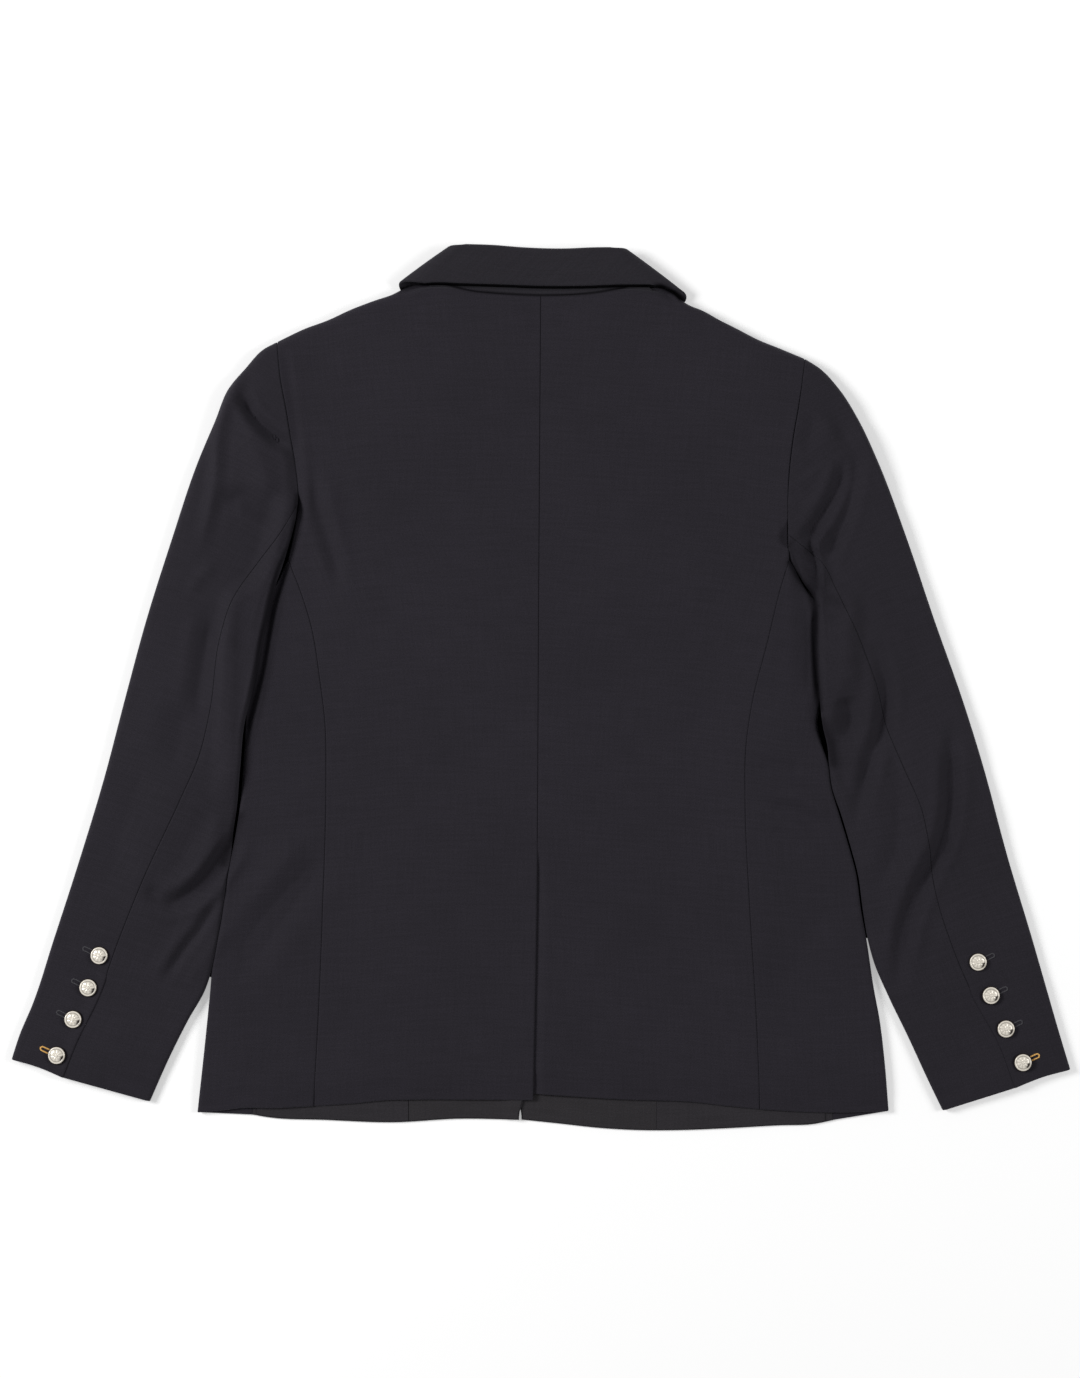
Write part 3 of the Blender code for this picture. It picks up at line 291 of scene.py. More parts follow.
# Painted shade where cloth lies hard on cloth and little light gets in: (points, half width, share of light lost)
PAINTED_SHADE_LINES = [
    ([(-115.4, 699), (-108.7, 701.6), (-103.8, 702.8), (-97, 702.6), (-88, 702.8), (-65.5, 702.1), (-32.5, 701.1),
      (2, 700), (35.5, 700), (69.5, 701.1), (90, 701.2), (98.8, 700.6), (105.4, 697.4), (112, 693.6), (116, 689.6)],
     1.7, 0.97),
    ([(-78, 702.4), (-60, 697.6), (-34, 694.9), (-14, 693.8), (5.8, 693.4), (27, 694), (49, 696.2), (69.7, 700)],
     1.0, 0.8),
    ([(-202.5, 528), (-205, 502), (-208.5, 488), (-213, 478), (-218.6, 464.8), (-223.2, 446.5), (-227.6, 426.6),
      (-232.2, 408.6), (-235.8, 383.5), (-240, 358), (-244, 335)], 2.2, 0.55),
    ([(206, 472), (214, 459), (222, 450), (227.4, 440), (227.6, 420), (227.2, 400), (228.4, 380), (230.2, 362),
      (231.2, 350)], 2.6, 0.6),
    ([(221, 480), (225, 464), (228, 452)], 7.0, 0.3),
    ([(233, 340), (240, 322), (243, 305)], 4.0, 0.4),
    ([(-250, 262), (-256, 244), (-264, 222)], 3.4, 0.4),
]
# Painted shade on the collar's leaf itself, below its edge at the two tips
PAINTED_SHADE_AT_LEAF_TIPS = [
    ([(-117, 698.8), (-111, 700.8), (-105, 702), (-99, 702.2)], 1.5, 0.9),
    ([(95.5, 700.6), (99.5, 700.8), (104, 699), (110, 695.6), (116.6, 689.6)], 2.1, 0.92),
]
FADE = 3.2              # a crease fades over one part in this many of its length, at either end
BESIDE_TROUGH = 0.2     # share of a trough's depth that the cloth beside it stands proud by
WAVINESS = 0.20         # height of the gentle unevenness of pressed cloth
# its waves: length, angle in degrees, phase, share of the height
WAVES = [(118, 21, 0.9, 1.0), (83, 104, 2.1, 0.8), (61, 63, 4.0, 0.6), (47, 152, 5.2, 0.5), (34, 38, 0.3, 0.25),
         (29, 118, 3.3, 0.2)]
DIMPLE = (0.7, 8)       # depth and half width of the cloth's dip under a cuff button

# %% [markdown]
# ## Lines and patches
# A panel is a net of points held by its four sides, the way a pattern piece is held by its outline. The net's rows
# run across the panel and its columns up it. Rows and columns crowd together at the panel's edges, because a sewn or
# turned edge is rounded over in about a millimetre, and a net of even steps would make it look cut from card.

# %% Helpers for lines and nets
def smooth_line(points, steps=8):
    """A smooth curve through the points of a table, of any number of columns."""
    p = np.array(points, float)
    t = run_of(p[:, :2])
    slope = np.gradient(p, t, axis=0) if len(p) > 2 else np.tile((p[1] - p[0]) / t[1], (2, 1))
    line = []
    for i in range(len(p) - 1):
        span = t[i + 1] - t[i]
        for s in np.arange(steps) / steps:
            keep = 2 * s**3 - 3 * s**2 + 1
            start = (s**3 - 2 * s**2 + s) * span * slope[i]
            end = (s**3 - s**2) * span * slope[i + 1]
            line.append(keep * p[i] + start + (1 - keep) * p[i + 1] + end)
    return np.array(line + [p[-1]])


def run_of(line):
    """Distance along a line to each of its points."""
    return np.r_[0, np.cumsum(np.linalg.norm(np.diff(line, axis=0), axis=1))]


def shares_of(line):
    """Share of a line's length at each of its points."""
    return run_of(line) / run_of(line)[-1]


def respaced(line, where):
    """Points at the given distances along a line."""
    return np.stack([np.interp(where, run_of(line), line[:, k]) for k in (0, 1)], axis=1)


def at(line, shares):
    """Points at the given shares of a line's length."""
    return respaced(line, np.asarray(shares) * run_of(line)[-1])


def joined(*lines):
    """Lines end to end, each meeting the next at a shared point."""
    return np.concatenate([lines[0]] + [line[1:] for line in lines[1:]])


def unit(way):
    return way / np.maximum(np.linalg.norm(way, axis=-1, keepdims=True), 1e-6)


def left_of(way):
    """One unit to the left of a way."""
    way = unit(way)
    return np.stack([-way[..., 1], way[..., 0]], axis=-1)


def nearest_on(line, points):
    """The stretch of a line nearest to each point, the point's share of the way along it, and how it stands off."""
    run = np.diff(line, axis=0)
    from_start = points[..., None, :] - line[:-1]
    share = (from_start * run).sum(-1) / (run * run).sum(-1)
    off = from_start - np.clip(share, 0, 1)[..., None] * run
    stretch = np.linalg.norm(off, axis=-1).argmin(-1)
    share = np.take_along_axis(share, stretch[..., None], -1)[..., 0]
    off = np.take_along_axis(off, stretch[..., None, None], -2)[..., 0, :]
    return stretch, share, off, np.linalg.norm(off, axis=-1)


def distance(points, line, inside, past_ends=False):
    """How far points are inside a line (inside: +1 to its left, -1 to its right), and the way further in."""
    stretch, share, off, far = nearest_on(line, points)
    inwards = left_of(np.diff(line, axis=0))[stretch] * inside
    outside = (off * inwards).sum(-1) < 0
    if past_ends:
        outside &= ~((share < 0) & (stretch == 0) | (share > 1) & (stretch == len(line) - 2))
    return np.where(outside, -far, far), inwards


EDGE_STEPS = np.array((0, 0.2, 0.5, 0.9, 1.5, 2.6))      # mm in from a sewn or turned edge


def spread(length, step, low=EDGE_STEPS, high=EDGE_STEPS):
    """Shares of a length: crowded at both ends, and about a step apart between them."""
    low, high = np.array(low, float), length - np.array(high, float)[::-1]
    cells = max(1, round((high[0] - low[-1]) / step))
    return np.r_[low, np.linspace(low[-1], high[0], cells + 1)[1:-1], high] / length


def stepped(line, step, **ends):
    """Points about a step apart along a line, crowded at its ends."""
    return at(line, spread(run_of(line)[-1], step, **ends))


def at_height(plan, z):
    """A flat net's points, each with its height."""
    return np.concatenate([plan, z[..., None]], axis=-1)


def net(low, high, first, last):
    """Fill four sides with rows of points: low and high run from first to last."""
    v, u = shares_of(first)[:, None, None], shares_of(low)[None, :, None]
    sides = (1 - u) * first[:, None] + u * last[:, None]
    ends = (1 - v) * low[None] + v * high[None]
    corners = (1 - v) * ((1 - u) * low[0] + u * low[-1]) + v * ((1 - u) * high[0] + u * high[-1])
    return sides + ends - corners


print("shares of a 20 mm strip:", spread(20, 5).round(3))

# %% [markdown]
# ## Heights
# Everything that lies on something else needs to know how high that something is. These helpers follow the ones that
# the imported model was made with, so before its creases are added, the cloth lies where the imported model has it.

# %% Helpers for heights
def ease(t):
    t = np.clip(t, 0, 1)
    return t * t * (3 - 2 * t)


def through(start, half, end, t):
    """The smooth curve that passes a start, a half-way value and an end, at share t of the way."""
    return start * (1 - t) * (1 - 2 * t) + 4 * half * t * (1 - t) + end * t * (2 * t - 1)


def rise(inside, slope):
    off, length = slope
    return ease((inside + off) / length)


def body_pile(points):
    x, y = points[..., 0], points[..., 1]
    rows = smooth_line(BODY_PILE)
    half, fold, middle, centre = (np.interp(y, rows[:, 0], rows[:, k]) for k in (1, 2, 3, 4))
    return through(centre, middle, fold, np.clip(np.abs(x) / half, 0, 1))


def sleeve_pile(share, across):
    rows = smooth_line(SLEEVE_PILE)
    outer, middle, inner = (np.interp(share * SLEEVE_LENGTH, rows[:, 0], rows[:, k]) for k in (1, 2, 3))
    return through(outer, middle, inner, across)


def side_sign(side):
    return -1 if side == "left" else 1


def arm_line(side):
    """The whole armhole, from the folded side round the armpit and up to the shoulder."""
    return joined(smooth_line(OUTLINES[side]["armpit"])[::-1], smooth_line(OUTLINES[side]["armhole"]))


def slab_edge(side):
    """Edge of the body under the sleeve, ending across the armhole, where the sleeve lies beside the body."""
    line = OUTLINES[side]
    arm = arm_line(side)
    nearest = np.linalg.norm(arm - line["sleeve_inner"][-1], axis=1).argmin()
    arm = arm[: max(nearest + 1, len(smooth_line(line["armpit"])))]
    inwards = arm[-1] - (side_sign(side) * FLUSH * 2, 0)
    return joined(smooth_line(line["side_fold"]), arm, np.array([arm[-1], inwards]))


def sleeve_bed(side, points):
    """The sleeve lies on the surface, and climbs over the edge of the body beside it."""
    inside, _ = distance(points, slab_edge(side), side_sign(side))
    climbs = ease((points[..., 1] - OUTLINES[side]["sleeve_climbs"]) / CLIMB + 1)
    return (body_pile(points) + 2 * LAY) * rise(inside, SLEEVE_RISE) * climbs


def lapel_bed(side, points):
    inside, _ = distance(points, smooth_line(LAPEL_BEDS[side]), side_sign(side))
    return LAYER * rise(inside, LAPEL_RISE)


def front_bed(side, points):
    """What each front lies on: its lapel, the button, and for the left one the other front's edge."""
    button_off = np.linalg.norm(points - np.array(FRONT_BUTTON_AT), axis=-1)
    lift = BUTTON_GAP * rise(-button_off, BUTTON_RISE[side])
    lift = np.maximum(lapel_bed("right", points), lift)
    if side == "right":
        return lift
    other, _ = distance(points, smooth_line(OUTLINES["right"]["front_edge"]), -1)
    return np.maximum(lapel_bed("left", points), (LAYER + lift) * rise(other, OVERLAP_RISE))


print("pile at the middle of the hem, waist and shoulders, mm:",
      body_pile(np.array([(0, 10), (0, 330), (0, 640)])).round(2))

# %% [markdown]
# ## Creases and unevenness
# A crease is drawn as a smooth line with a rounded cross-section, fading at both ends. Under them all, pressed wool
# is never quite flat, so a few long waves of a fraction of a millimetre are added, at angles to each other so that
# they don't look like a pattern. The waves are few and long because short ones read as crumpled paper.

# %% Helpers for the shape of the cloth
def around_lines(points, rows):
    """For each row of a table that starts with a line and a half width: which points are near it, and the rest."""
    for table, width, *rest in rows:
        line = smooth_line(table, 6) if len(table) > 2 else np.array(table, float)
        near = ((points > line.min(0) - 3 * width) & (points < line.max(0) + 3 * width)).all(-1)
        if near.any():
            yield near, line, width, *rest


def creases(points):
    """Height that the creases add at each point."""
    high = np.zeros(points.shape[:-1])
    for near, line, width, height, *lean in around_lines(points, CREASES):
        stretch, share, off, far = nearest_on(line, points[near])
        run = np.diff(line, axis=0)[stretch]
        along = run_of(line)[stretch] + np.clip(share, 0, 1) * np.linalg.norm(run, axis=1)
        along *= FADE / run_of(line)[-1]
        leaning = 1 + sum(lean) * np.tanh((off * left_of(run)).sum(-1) / 1.5)
        across = far / (width * leaning)
        shape = np.exp(-across**1.6) - BESIDE_TROUGH * np.exp(-((across - 2) / 0.8) ** 2)
        high[near] += height * shape * ease(along + 0.35) * ease(FADE + 0.35 - along)
    return high


def pressed(points, lines):
    """Share of light lost at each point where cloth lies hard against cloth, painted as shade by the wool's finish."""
    left = np.ones(points.shape[:-1])
    for near, line, width, loss in around_lines(points, lines):
        left[near] *= 1 - loss * np.exp(-(nearest_on(line, points[near])[-1] / width) ** 2)
    return 1 - left


def unevenness(points):
    """Gentle waves of pressed cloth."""
    x, y = points[..., 0], points[..., 1]
    total = 0
    for length, angle, phase, share in WAVES:
        turn = math.radians(angle)
        warp = 0.9 * np.sin(2 * math.pi * (x * math.sin(turn) - y * math.cos(turn)) / (length * 2.7) + phase * 2)
        total = total + share * np.sin(2 * math.pi * (x * math.cos(turn) + y * math.sin(turn)) / length + phase + warp)
    return WAVINESS * total


def cloth_shape(points):
    """All that the cloth's own shape adds to the pile's height."""
    high = creases(points) + unevenness(points)
    depth, width = DIMPLE
    for side in OUTLINES:
        for place in OUTLINES[side]["cuff_buttons"]:
            high -= depth * np.exp(-(np.linalg.norm(points - np.array(place), axis=-1) / width) ** 2)
    return high


def rolled(points, bed, pile, folded=(), top=True, extra=0):
    """Outer and inner points of a layer, the top or the bottom one of a pile, rolled round at its folded edges."""
    radius = pile / 2
    drop, inwards = np.zeros_like(pile), np.zeros(points.shape)
    for far, way in folded:
        near = np.clip(radius - far, 0, radius)
        high = np.sqrt(radius**2 - near**2)
        drop = np.maximum(drop, radius - high)
        inwards = inwards + way * (near / radius)[..., None]
    flat = 1 - drop / radius
    up = 1 if top else -1
    extra = np.maximum(extra, LEAST_PILE - pile)
    outer = at_height(points, bed + (pile - drop + extra * flat if top else drop))
    way = unit(at_height(inwards, -up * flat))
    return outer, outer + way * np.minimum(WALL, pile / 2 - 0.1)[..., None]


grid = np.stack(np.meshgrid(np.linspace(-280, 280, 200), np.linspace(0, 690, 300)), axis=-1)
print("cloth's own shape, mm:", cloth_shape(grid).min().round(2), "to", cloth_shape(grid).max().round(2))

# %% [markdown]
# ## A closed wall of cloth
# Cloth seen edge-on has a thickness, and a panel drawn as a single surface would vanish there. So each panel has an
# outer and an inner face and a rim that joins them, with the rim's corners rounded over as a pressed edge is. Where
# two rounded edges meet, they leave the narrow ditch that a seam shows as. The pattern's lengths along and across
# each panel are kept as its own coordinates, so the weave follows the cut and turns with the sleeve.

# %% Helper that makes a panel's mesh
EDGE_ROUND = 1.1        # radius of a sewn or turned edge outside, and inside it by what is left of the wall


def added(name, data):
    """A new object in the scene."""
    thing = bpy.data.objects.new(name, data)
    bpy.context.scene.collection.objects.link(thing)
    return thing


def lengths(outer):
    """Distance along the cloth to each point of a net, from its first column and from its first row."""
    steps = (np.linalg.norm(np.diff(outer, axis=axis), axis=-1) for axis in (1, 0))
    return [np.pad(np.cumsum(step, axis=axis), pad) for step, axis, pad in
            zip(steps, (1, 0), (((0, 0), (1, 0)), ((1, 0), (0, 0))))]


def over_edges(outer, inner):
    """Round the panel's four edges over."""
    across, along = lengths(outer)
    edge = np.minimum.reduce([across, across[:, -1:] - across, along, along[-1:] - along])
    near = EDGE_ROUND - np.minimum(edge, EDGE_ROUND)
    drop = EDGE_ROUND - np.sqrt(EDGE_ROUND**2 - near**2)
    way = unit(inner - outer) * drop[..., None]
    return outer + way, inner - 0.5 * way


def shell(name, outer, inner, keep=None, round_over=True):
    """A closed wall between an outer and an inner net, in pattern millimetres."""
    rows, columns = outer.shape[:2]
    keep = np.ones((rows - 1, columns - 1), bool) if keep is None else keep
    across, along = lengths(outer)
    side_a, side_b = outer[:-1, 1:] - outer[:-1, :-1], outer[1:, :-1] - outer[:-1, :-1]
    area = (np.linalg.norm(np.cross(side_a, side_b), axis=-1) * keep).sum()
    if round_over:
        outer, inner = over_edges(outer, inner)
    number = np.arange(rows * columns).reshape(rows, columns)
    count = rows * columns
    ring = np.stack([number[:-1, :-1], number[:-1, 1:], number[1:, 1:], number[1:, :-1]], axis=-1)[keep]
    edges = np.stack([ring, np.roll(ring, -1, axis=1)], axis=-1).reshape(-1, 2)
    low, high = edges.min(1), edges.max(1)
    _, first, times = np.unique(low * count + high, return_index=True, return_counts=True)
    a, b = edges[first[times == 1]].T
    faces = np.concatenate([ring, ring[:, ::-1] + count, np.stack([b, a, a + count, b + count], axis=1)])
    points = np.concatenate([outer.reshape(-1, 3), inner.reshape(-1, 3)])
    used, faces = np.unique(faces, return_inverse=True)
    faces = faces.reshape(-1, 4)
    p = points[used]
    first, second, third, fourth = (p[faces[:, k]] for k in range(4))
    volume = (first * (np.cross(second - first, third - first) + np.cross(third - first, fourth - first))).sum()
    if volume < 0:          # the walls face inwards
        faces = faces[:, ::-1]
    mesh = bpy.data.meshes.new(name)
    mesh.from_pydata(((p + (*MOVED, 0)) * MM).tolist(), [], faces.tolist())
    cloth = np.tile(np.stack([across, along], axis=-1).reshape(-1, 2) * MM, (2, 1))[used]
    layer = mesh.uv_layers.new(name="cloth")
    layer.data.foreach_set("uv", cloth[faces.reshape(-1)].ravel())
    mesh.shade_smooth()
    mesh.set_sharp_from_angle(angle=math.radians(60))
    return added(name, mesh)


print("edge rounded over by, mm:", EDGE_ROUND)

# %% [markdown]
# ## The two back panels
# The back is cut in two so that the seam down the middle can follow the spine. Below the waist the seam opens into
# a vent: the left panel's edge laps over an underlap on the right one, which lets the skirt spread when the wearer
# sits. The right panel is therefore made wider below the vent's top and dips under the left panel's edge.

# %% Backs
SHOULDER_STEPS = np.array((0, 0.1, 0.4, 0.9, 1.6, 2.5, 3.6, 5.0, 6.8, 9.0))
CORNER = (0, 1.5)       # rows beside a corner within an edge, mm
BACK_STEP, FRONT_STEP = 2.9, 4.5
HEM_FALL, HEM_FALL_LONG = 2.2, 22
OVER_LAPELS = (590, 24)     # above this height the back's pile counts what the fronts lie on, coming in over this far
LAP_PAST_TOP = 8        # how far the underlap goes on above the vent, where it narrows
LAP_SHARES = (0.02, 0.1, 0.3, 0.55, 0.8, 0.98, 1)


def arm_side(side, seam, step):
    """A seam up to the armhole and the armhole above it, with a row at the corner."""
    seam = stepped(smooth_line(seam), step, high=CORNER)
    arm = stepped(smooth_line(OUTLINES[side]["armhole"]), step, low=CORNER, high=SHOULDER_STEPS)
    return joined(seam, arm) if np.allclose(seam[-1], arm[0]) else np.concatenate([seam, arm])


def top_edge(side, inner_end, step):
    """The shoulder line and what follows it to the middle."""
    shoulder = stepped(smooth_line(OUTLINES[side]["shoulder"]), step, high=CORNER)
    return joined(shoulder, stepped(inner_end, step, low=CORNER))


def hem_fall(plan):
    """How far the top layer comes down onto the layer below at its hem, which is a net's first row."""
    return HEM_FALL * ease(1 - (plan[..., 1] - plan[:1, :, 1]) / HEM_FALL_LONG)


def shoulder_fold(side, plan):
    far, way = distance(plan, smooth_line(OUTLINES[side]["shoulder"]), side_sign(side))
    return [(np.maximum(far, 0), way)]


def back(side):
    line = OUTLINES[side]
    first = arm_side(side, line["side_seam"], BACK_STEP)
    hem, centre = smooth_line(line["hem_back"]), smooth_line(CENTRE_BACK)
    centre = np.concatenate([hem[-1:], centre[centre[:, 1] > hem[-1, 1] + 1]])
    centre = at(centre, shares_of(first))
    high = top_edge(side, smooth_line(line["neck"]), BACK_STEP)
    low = at(hem, shares_of(high))
    first[0], first[-1], high[-1] = low[0], high[0], centre[-1]
    plan = net(low, high, first, centre)
    keep = np.ones((len(plan) - 1, plan.shape[1] - 1), bool)
    dip = np.zeros(plan.shape[:2])
    if side == "right":
        plan, keep, dip = with_underlap(plan, keep)
    under = front_bed(side, plan) * ease((plan[..., 1] - OVER_LAPELS[0]) / OVER_LAPELS[1])
    return shell(f"back_{side}_cloth", *rolled(plan, under - dip, body_pile(plan) - under, shoulder_fold(side, plan),
                                               extra=cloth_shape(plan) - hem_fall(plan)), keep)


def with_underlap(plan, keep):
    """Add the vent's underlap past the centre line, and the dip that takes it below the other panel's flap."""
    edge = plan[:, -1]
    low = edge[:, 1] < VENT_TOP + LAP_PAST_TOP
    reach = (1 - 0.6 * ease((edge[:, 1] - VENT_TOP + 30) / 14))[:, None]
    laps = np.stack([edge - (share * UNDERLAP * reach) * (1, 0) for share in LAP_SHARES], axis=1)
    plan = np.concatenate([plan, laps], axis=1)
    keep = np.concatenate([keep, np.tile((low[:-1] & low[1:])[:, None], (1, len(LAP_SHARES)))], axis=1)
    centre = np.interp(plan[..., 1], *np.array(CENTRE_BACK).T[::-1])
    dip = LAYER * ease((8 - (plan[..., 0] - centre)) / 7) * ease((VENT_TOP + 45 - plan[..., 1]) / 34)
    return plan, keep, dip


backs = [back(side) for side in ("left", "right")]

# %% [markdown]
# ## Side panels
# There is no seam at the side of a blazer like this one. A side panel runs from a curved seam on the back, round the
# folded side, to a seam on the front. So the panel's net is made in two layers that share the fold, and the points
# crowd at the fold by equal turns, which keeps it round.

# %% Sides
TURN = 1 - np.cos(np.radians((0, 9, 18, 28, 39, 51, 65, 90)))   # a quarter turn, seen from above
SIDE_STEP = 2.1
SIDE_COLUMNS = {True: 46, False: 14}        # of the top layer, and of the one below it
SIDE_FALL = 0.6         # share of the hem's fall that a side panel takes
FOLD_POINTS = 60


def from_fold(low, high, fold, seam, pile, columns):
    """A net from a folded edge to a seam, with points for the quarter turn at the fold."""
    rows = []
    ends = [respaced(line, np.linspace(0, run_of(line)[-1], FOLD_POINTS)) for line in (low, high)]
    for row, height in zip(net(ends[0], ends[1], fold, seam), pile):
        width = run_of(row)[-1]
        turn = height / 2 * TURN
        inner = np.minimum(EDGE_STEPS[::-1], (width - turn[-1]) * EDGE_STEPS[::-1] / 4)
        rest = np.linspace(turn[-1], width - inner[0], columns + 1)[1:-1]
        rows.append(respaced(row, np.r_[turn, rest, width - inner]))
    return np.array(rows)


def round_fold(above, below):
    """Join a piece's two layers at the fold that each begins with."""
    return [np.concatenate([top[:, ::-1], bottom[:, 1:]], axis=1) for top, bottom in zip(above, below)]


def side_panel(side):
    line = OUTLINES[side]
    fold_line = smooth_line(line["side_fold"])
    shares = spread(run_of(fold_line)[-1], SIDE_STEP)
    seam, fold, under = (at(smooth_line(line[name]), shares) for name in ("side_seam", "side_fold", "under_seam"))
    arm = smooth_line(line["armpit"])[::-1]
    meet = np.linalg.norm(arm - line["under_seam"][-1], axis=1).argmin()
    layers = []
    for low, high, last, top in ((smooth_line(line["hem_side"]), arm, seam, True),
                                 (np.array([fold[0], under[0]]), arm[: meet + 1], under, False)):
        plan = from_fold(low, high, fold, last, body_pile(fold), SIDE_COLUMNS[top])
        far, way = distance(plan, fold_line, side_sign(side))
        pile = body_pile(plan)
        extra = cloth_shape(plan) - (SIDE_FALL * hem_fall(plan) if top else 0)
        layers.append(rolled(plan, 0 * pile, pile, [(np.maximum(far, 0), way)], top, extra))
    return shell(f"side_{side}_cloth", *round_fold(*layers))


sides = [side_panel(side) for side in ("left", "right")]

# %% [markdown]
# ## Fronts and lapels
# The fronts lie below the back, buttoned one over the other, and show only as a band below the back's hem, because
# the fronts of a tailored coat hang lower than its back. The band is the turned-up inside of the front, and its
# facing ends in a small step. The lapels are folded back on the outside of the fronts, so they lie on the floor.

# %% Fronts and lapels
def front(side):
    line = OUTLINES[side]
    first = arm_side(side, line["under_seam"], FRONT_STEP)
    edge = at(smooth_line(line["front_edge"]), shares_of(first))
    high = top_edge(side, np.array([line["shoulder"][-1], line["front_edge"][-1]], float), FRONT_STEP)
    low = at(smooth_line(line["hem_front"]), shares_of(high))
    first[0], first[-1], low[-1] = low[0], high[0], edge[0]
    plan = net(low, high, first, edge)
    bed = front_bed(side, plan)
    return shell(f"front_{side}_cloth", *rolled(plan, bed, body_pile(plan) - bed, shoulder_fold(side, plan), top=False))


FACING_EDGE = {"left": (-110.4, -109.9), "right": (96.1, 95.9)}     # end of the turned-up hem, start of the facing
TURNED_FROM = 236       # where the turned-up hem starts, from the middle
TURNED_LONG = 42        # how far up the front both reach
TURNED_UP = 0.7         # how far both stand over the inside of the front
TURNED_IN = 1.1         # how far they stay back from the front's own edges
TURNED_STEP, TURNED_EDGE = 4, {"low": (0, 0.4), "high": (0, 0.4)}
LAPEL_STEP = 6


def turned_up(side, part):
    """The strip inside the front's hem: the hem's own turned-up cloth, or the facing behind the front edge."""
    sign = side_sign(side)
    hem, edge = (smooth_line(OUTLINES[side][name]) for name in ("hem_front", "front_edge"))
    start, end = sign * TURNED_FROM, FACING_EDGE[side][0]
    if part == "facing":
        start, end = FACING_EDGE[side][1], edge[0, 0] + sign * TURNED_IN
    shares = spread(abs(end - start), TURNED_STEP, **TURNED_EDGE)
    across = start + (end - start) * shares
    by_x = hem[np.argsort(hem[:, 0])]
    low = np.stack([across, np.interp(across, by_x[:, 0], by_x[:, 1]) + TURNED_IN], axis=1)
    plan = low[None] + spread(TURNED_LONG, TURNED_STEP, **TURNED_EDGE)[:, None, None] * (0, TURNED_LONG)
    if part == "facing":
        reach = np.interp(plan[:, -1, 1], edge[:, 1], edge[:, 0]) + sign * TURNED_IN - plan[:, -1, 0]
        plan[..., 0] += reach[:, None] * shares
    outer = at_height(plan, front_bed(side, plan) + WALL + TURNED_UP)
    return shell(f"front_{side}_{part}_strip", outer, outer - (0, 0, TURNED_UP - 0.1), round_over=False)


def lapel(side):
    edge, roll, high = (np.array(OUTLINES[side][name], float) for name in ("lapel_edge", "lapel_side", "lapel_top"))
    edge = smooth_line(edge)
    shares = spread(run_of(edge)[-1], LAPEL_STEP)
    edge, roll = at(edge, shares), at(roll, shares)
    shares = spread(run_of(high)[-1], LAPEL_STEP)
    low, high = at(np.array([edge[0], roll[0]]), shares), at(high, shares)
    high[0], high[-1] = edge[-1], roll[-1]
    floor = np.pad(net(low, high, edge, roll), ((0, 0), (0, 0), (0, 1)))
    return shell(f"lapel_{side}_cloth", floor, floor + (0, 0, WALL))


fronts = [front(side) for side in ("left", "right")]
hems = [turned_up(side, part) for side in ("left", "right") for part in ("hem", "facing")]
lapels = [lapel(side) for side in ("left", "right")]

# %% [markdown]
# ## Sleeves
# A tailored sleeve is cut in two pieces, a wide top and a narrow under piece, so that it can hang with the bend of
# an arm. Its back seam shows here, from the armhole down past the elbow to the cuff, where it is left open as a vent
# under the buttons. The sleeve lies beside the body and its upper half climbs onto it. Each piece is made in two
# layers from its fold, as the side panel is.

# %% Sleeves
SLEEVE_STEP = 2.3
ARM_POINTS = 3000       # points along the armhole to choose the sleeve's corners from
VENT_LONG = 118         # how far up from the cuff the sleeve's vent is open
VENT_HIGH = 0.9         # how far the top piece stands over the under piece along it
VENT_PAST = 1.2         # how far it reaches over the seam
CUFF_BOW = 1.3          # how far the cuff's edge bows out
VENT_TAPER = 14         # over how far the vent's top piece sinks back to the seam
SLEEVE_COLUMNS = {"top": (34, 16), "under": (26, 12)}      # above the fold and below it


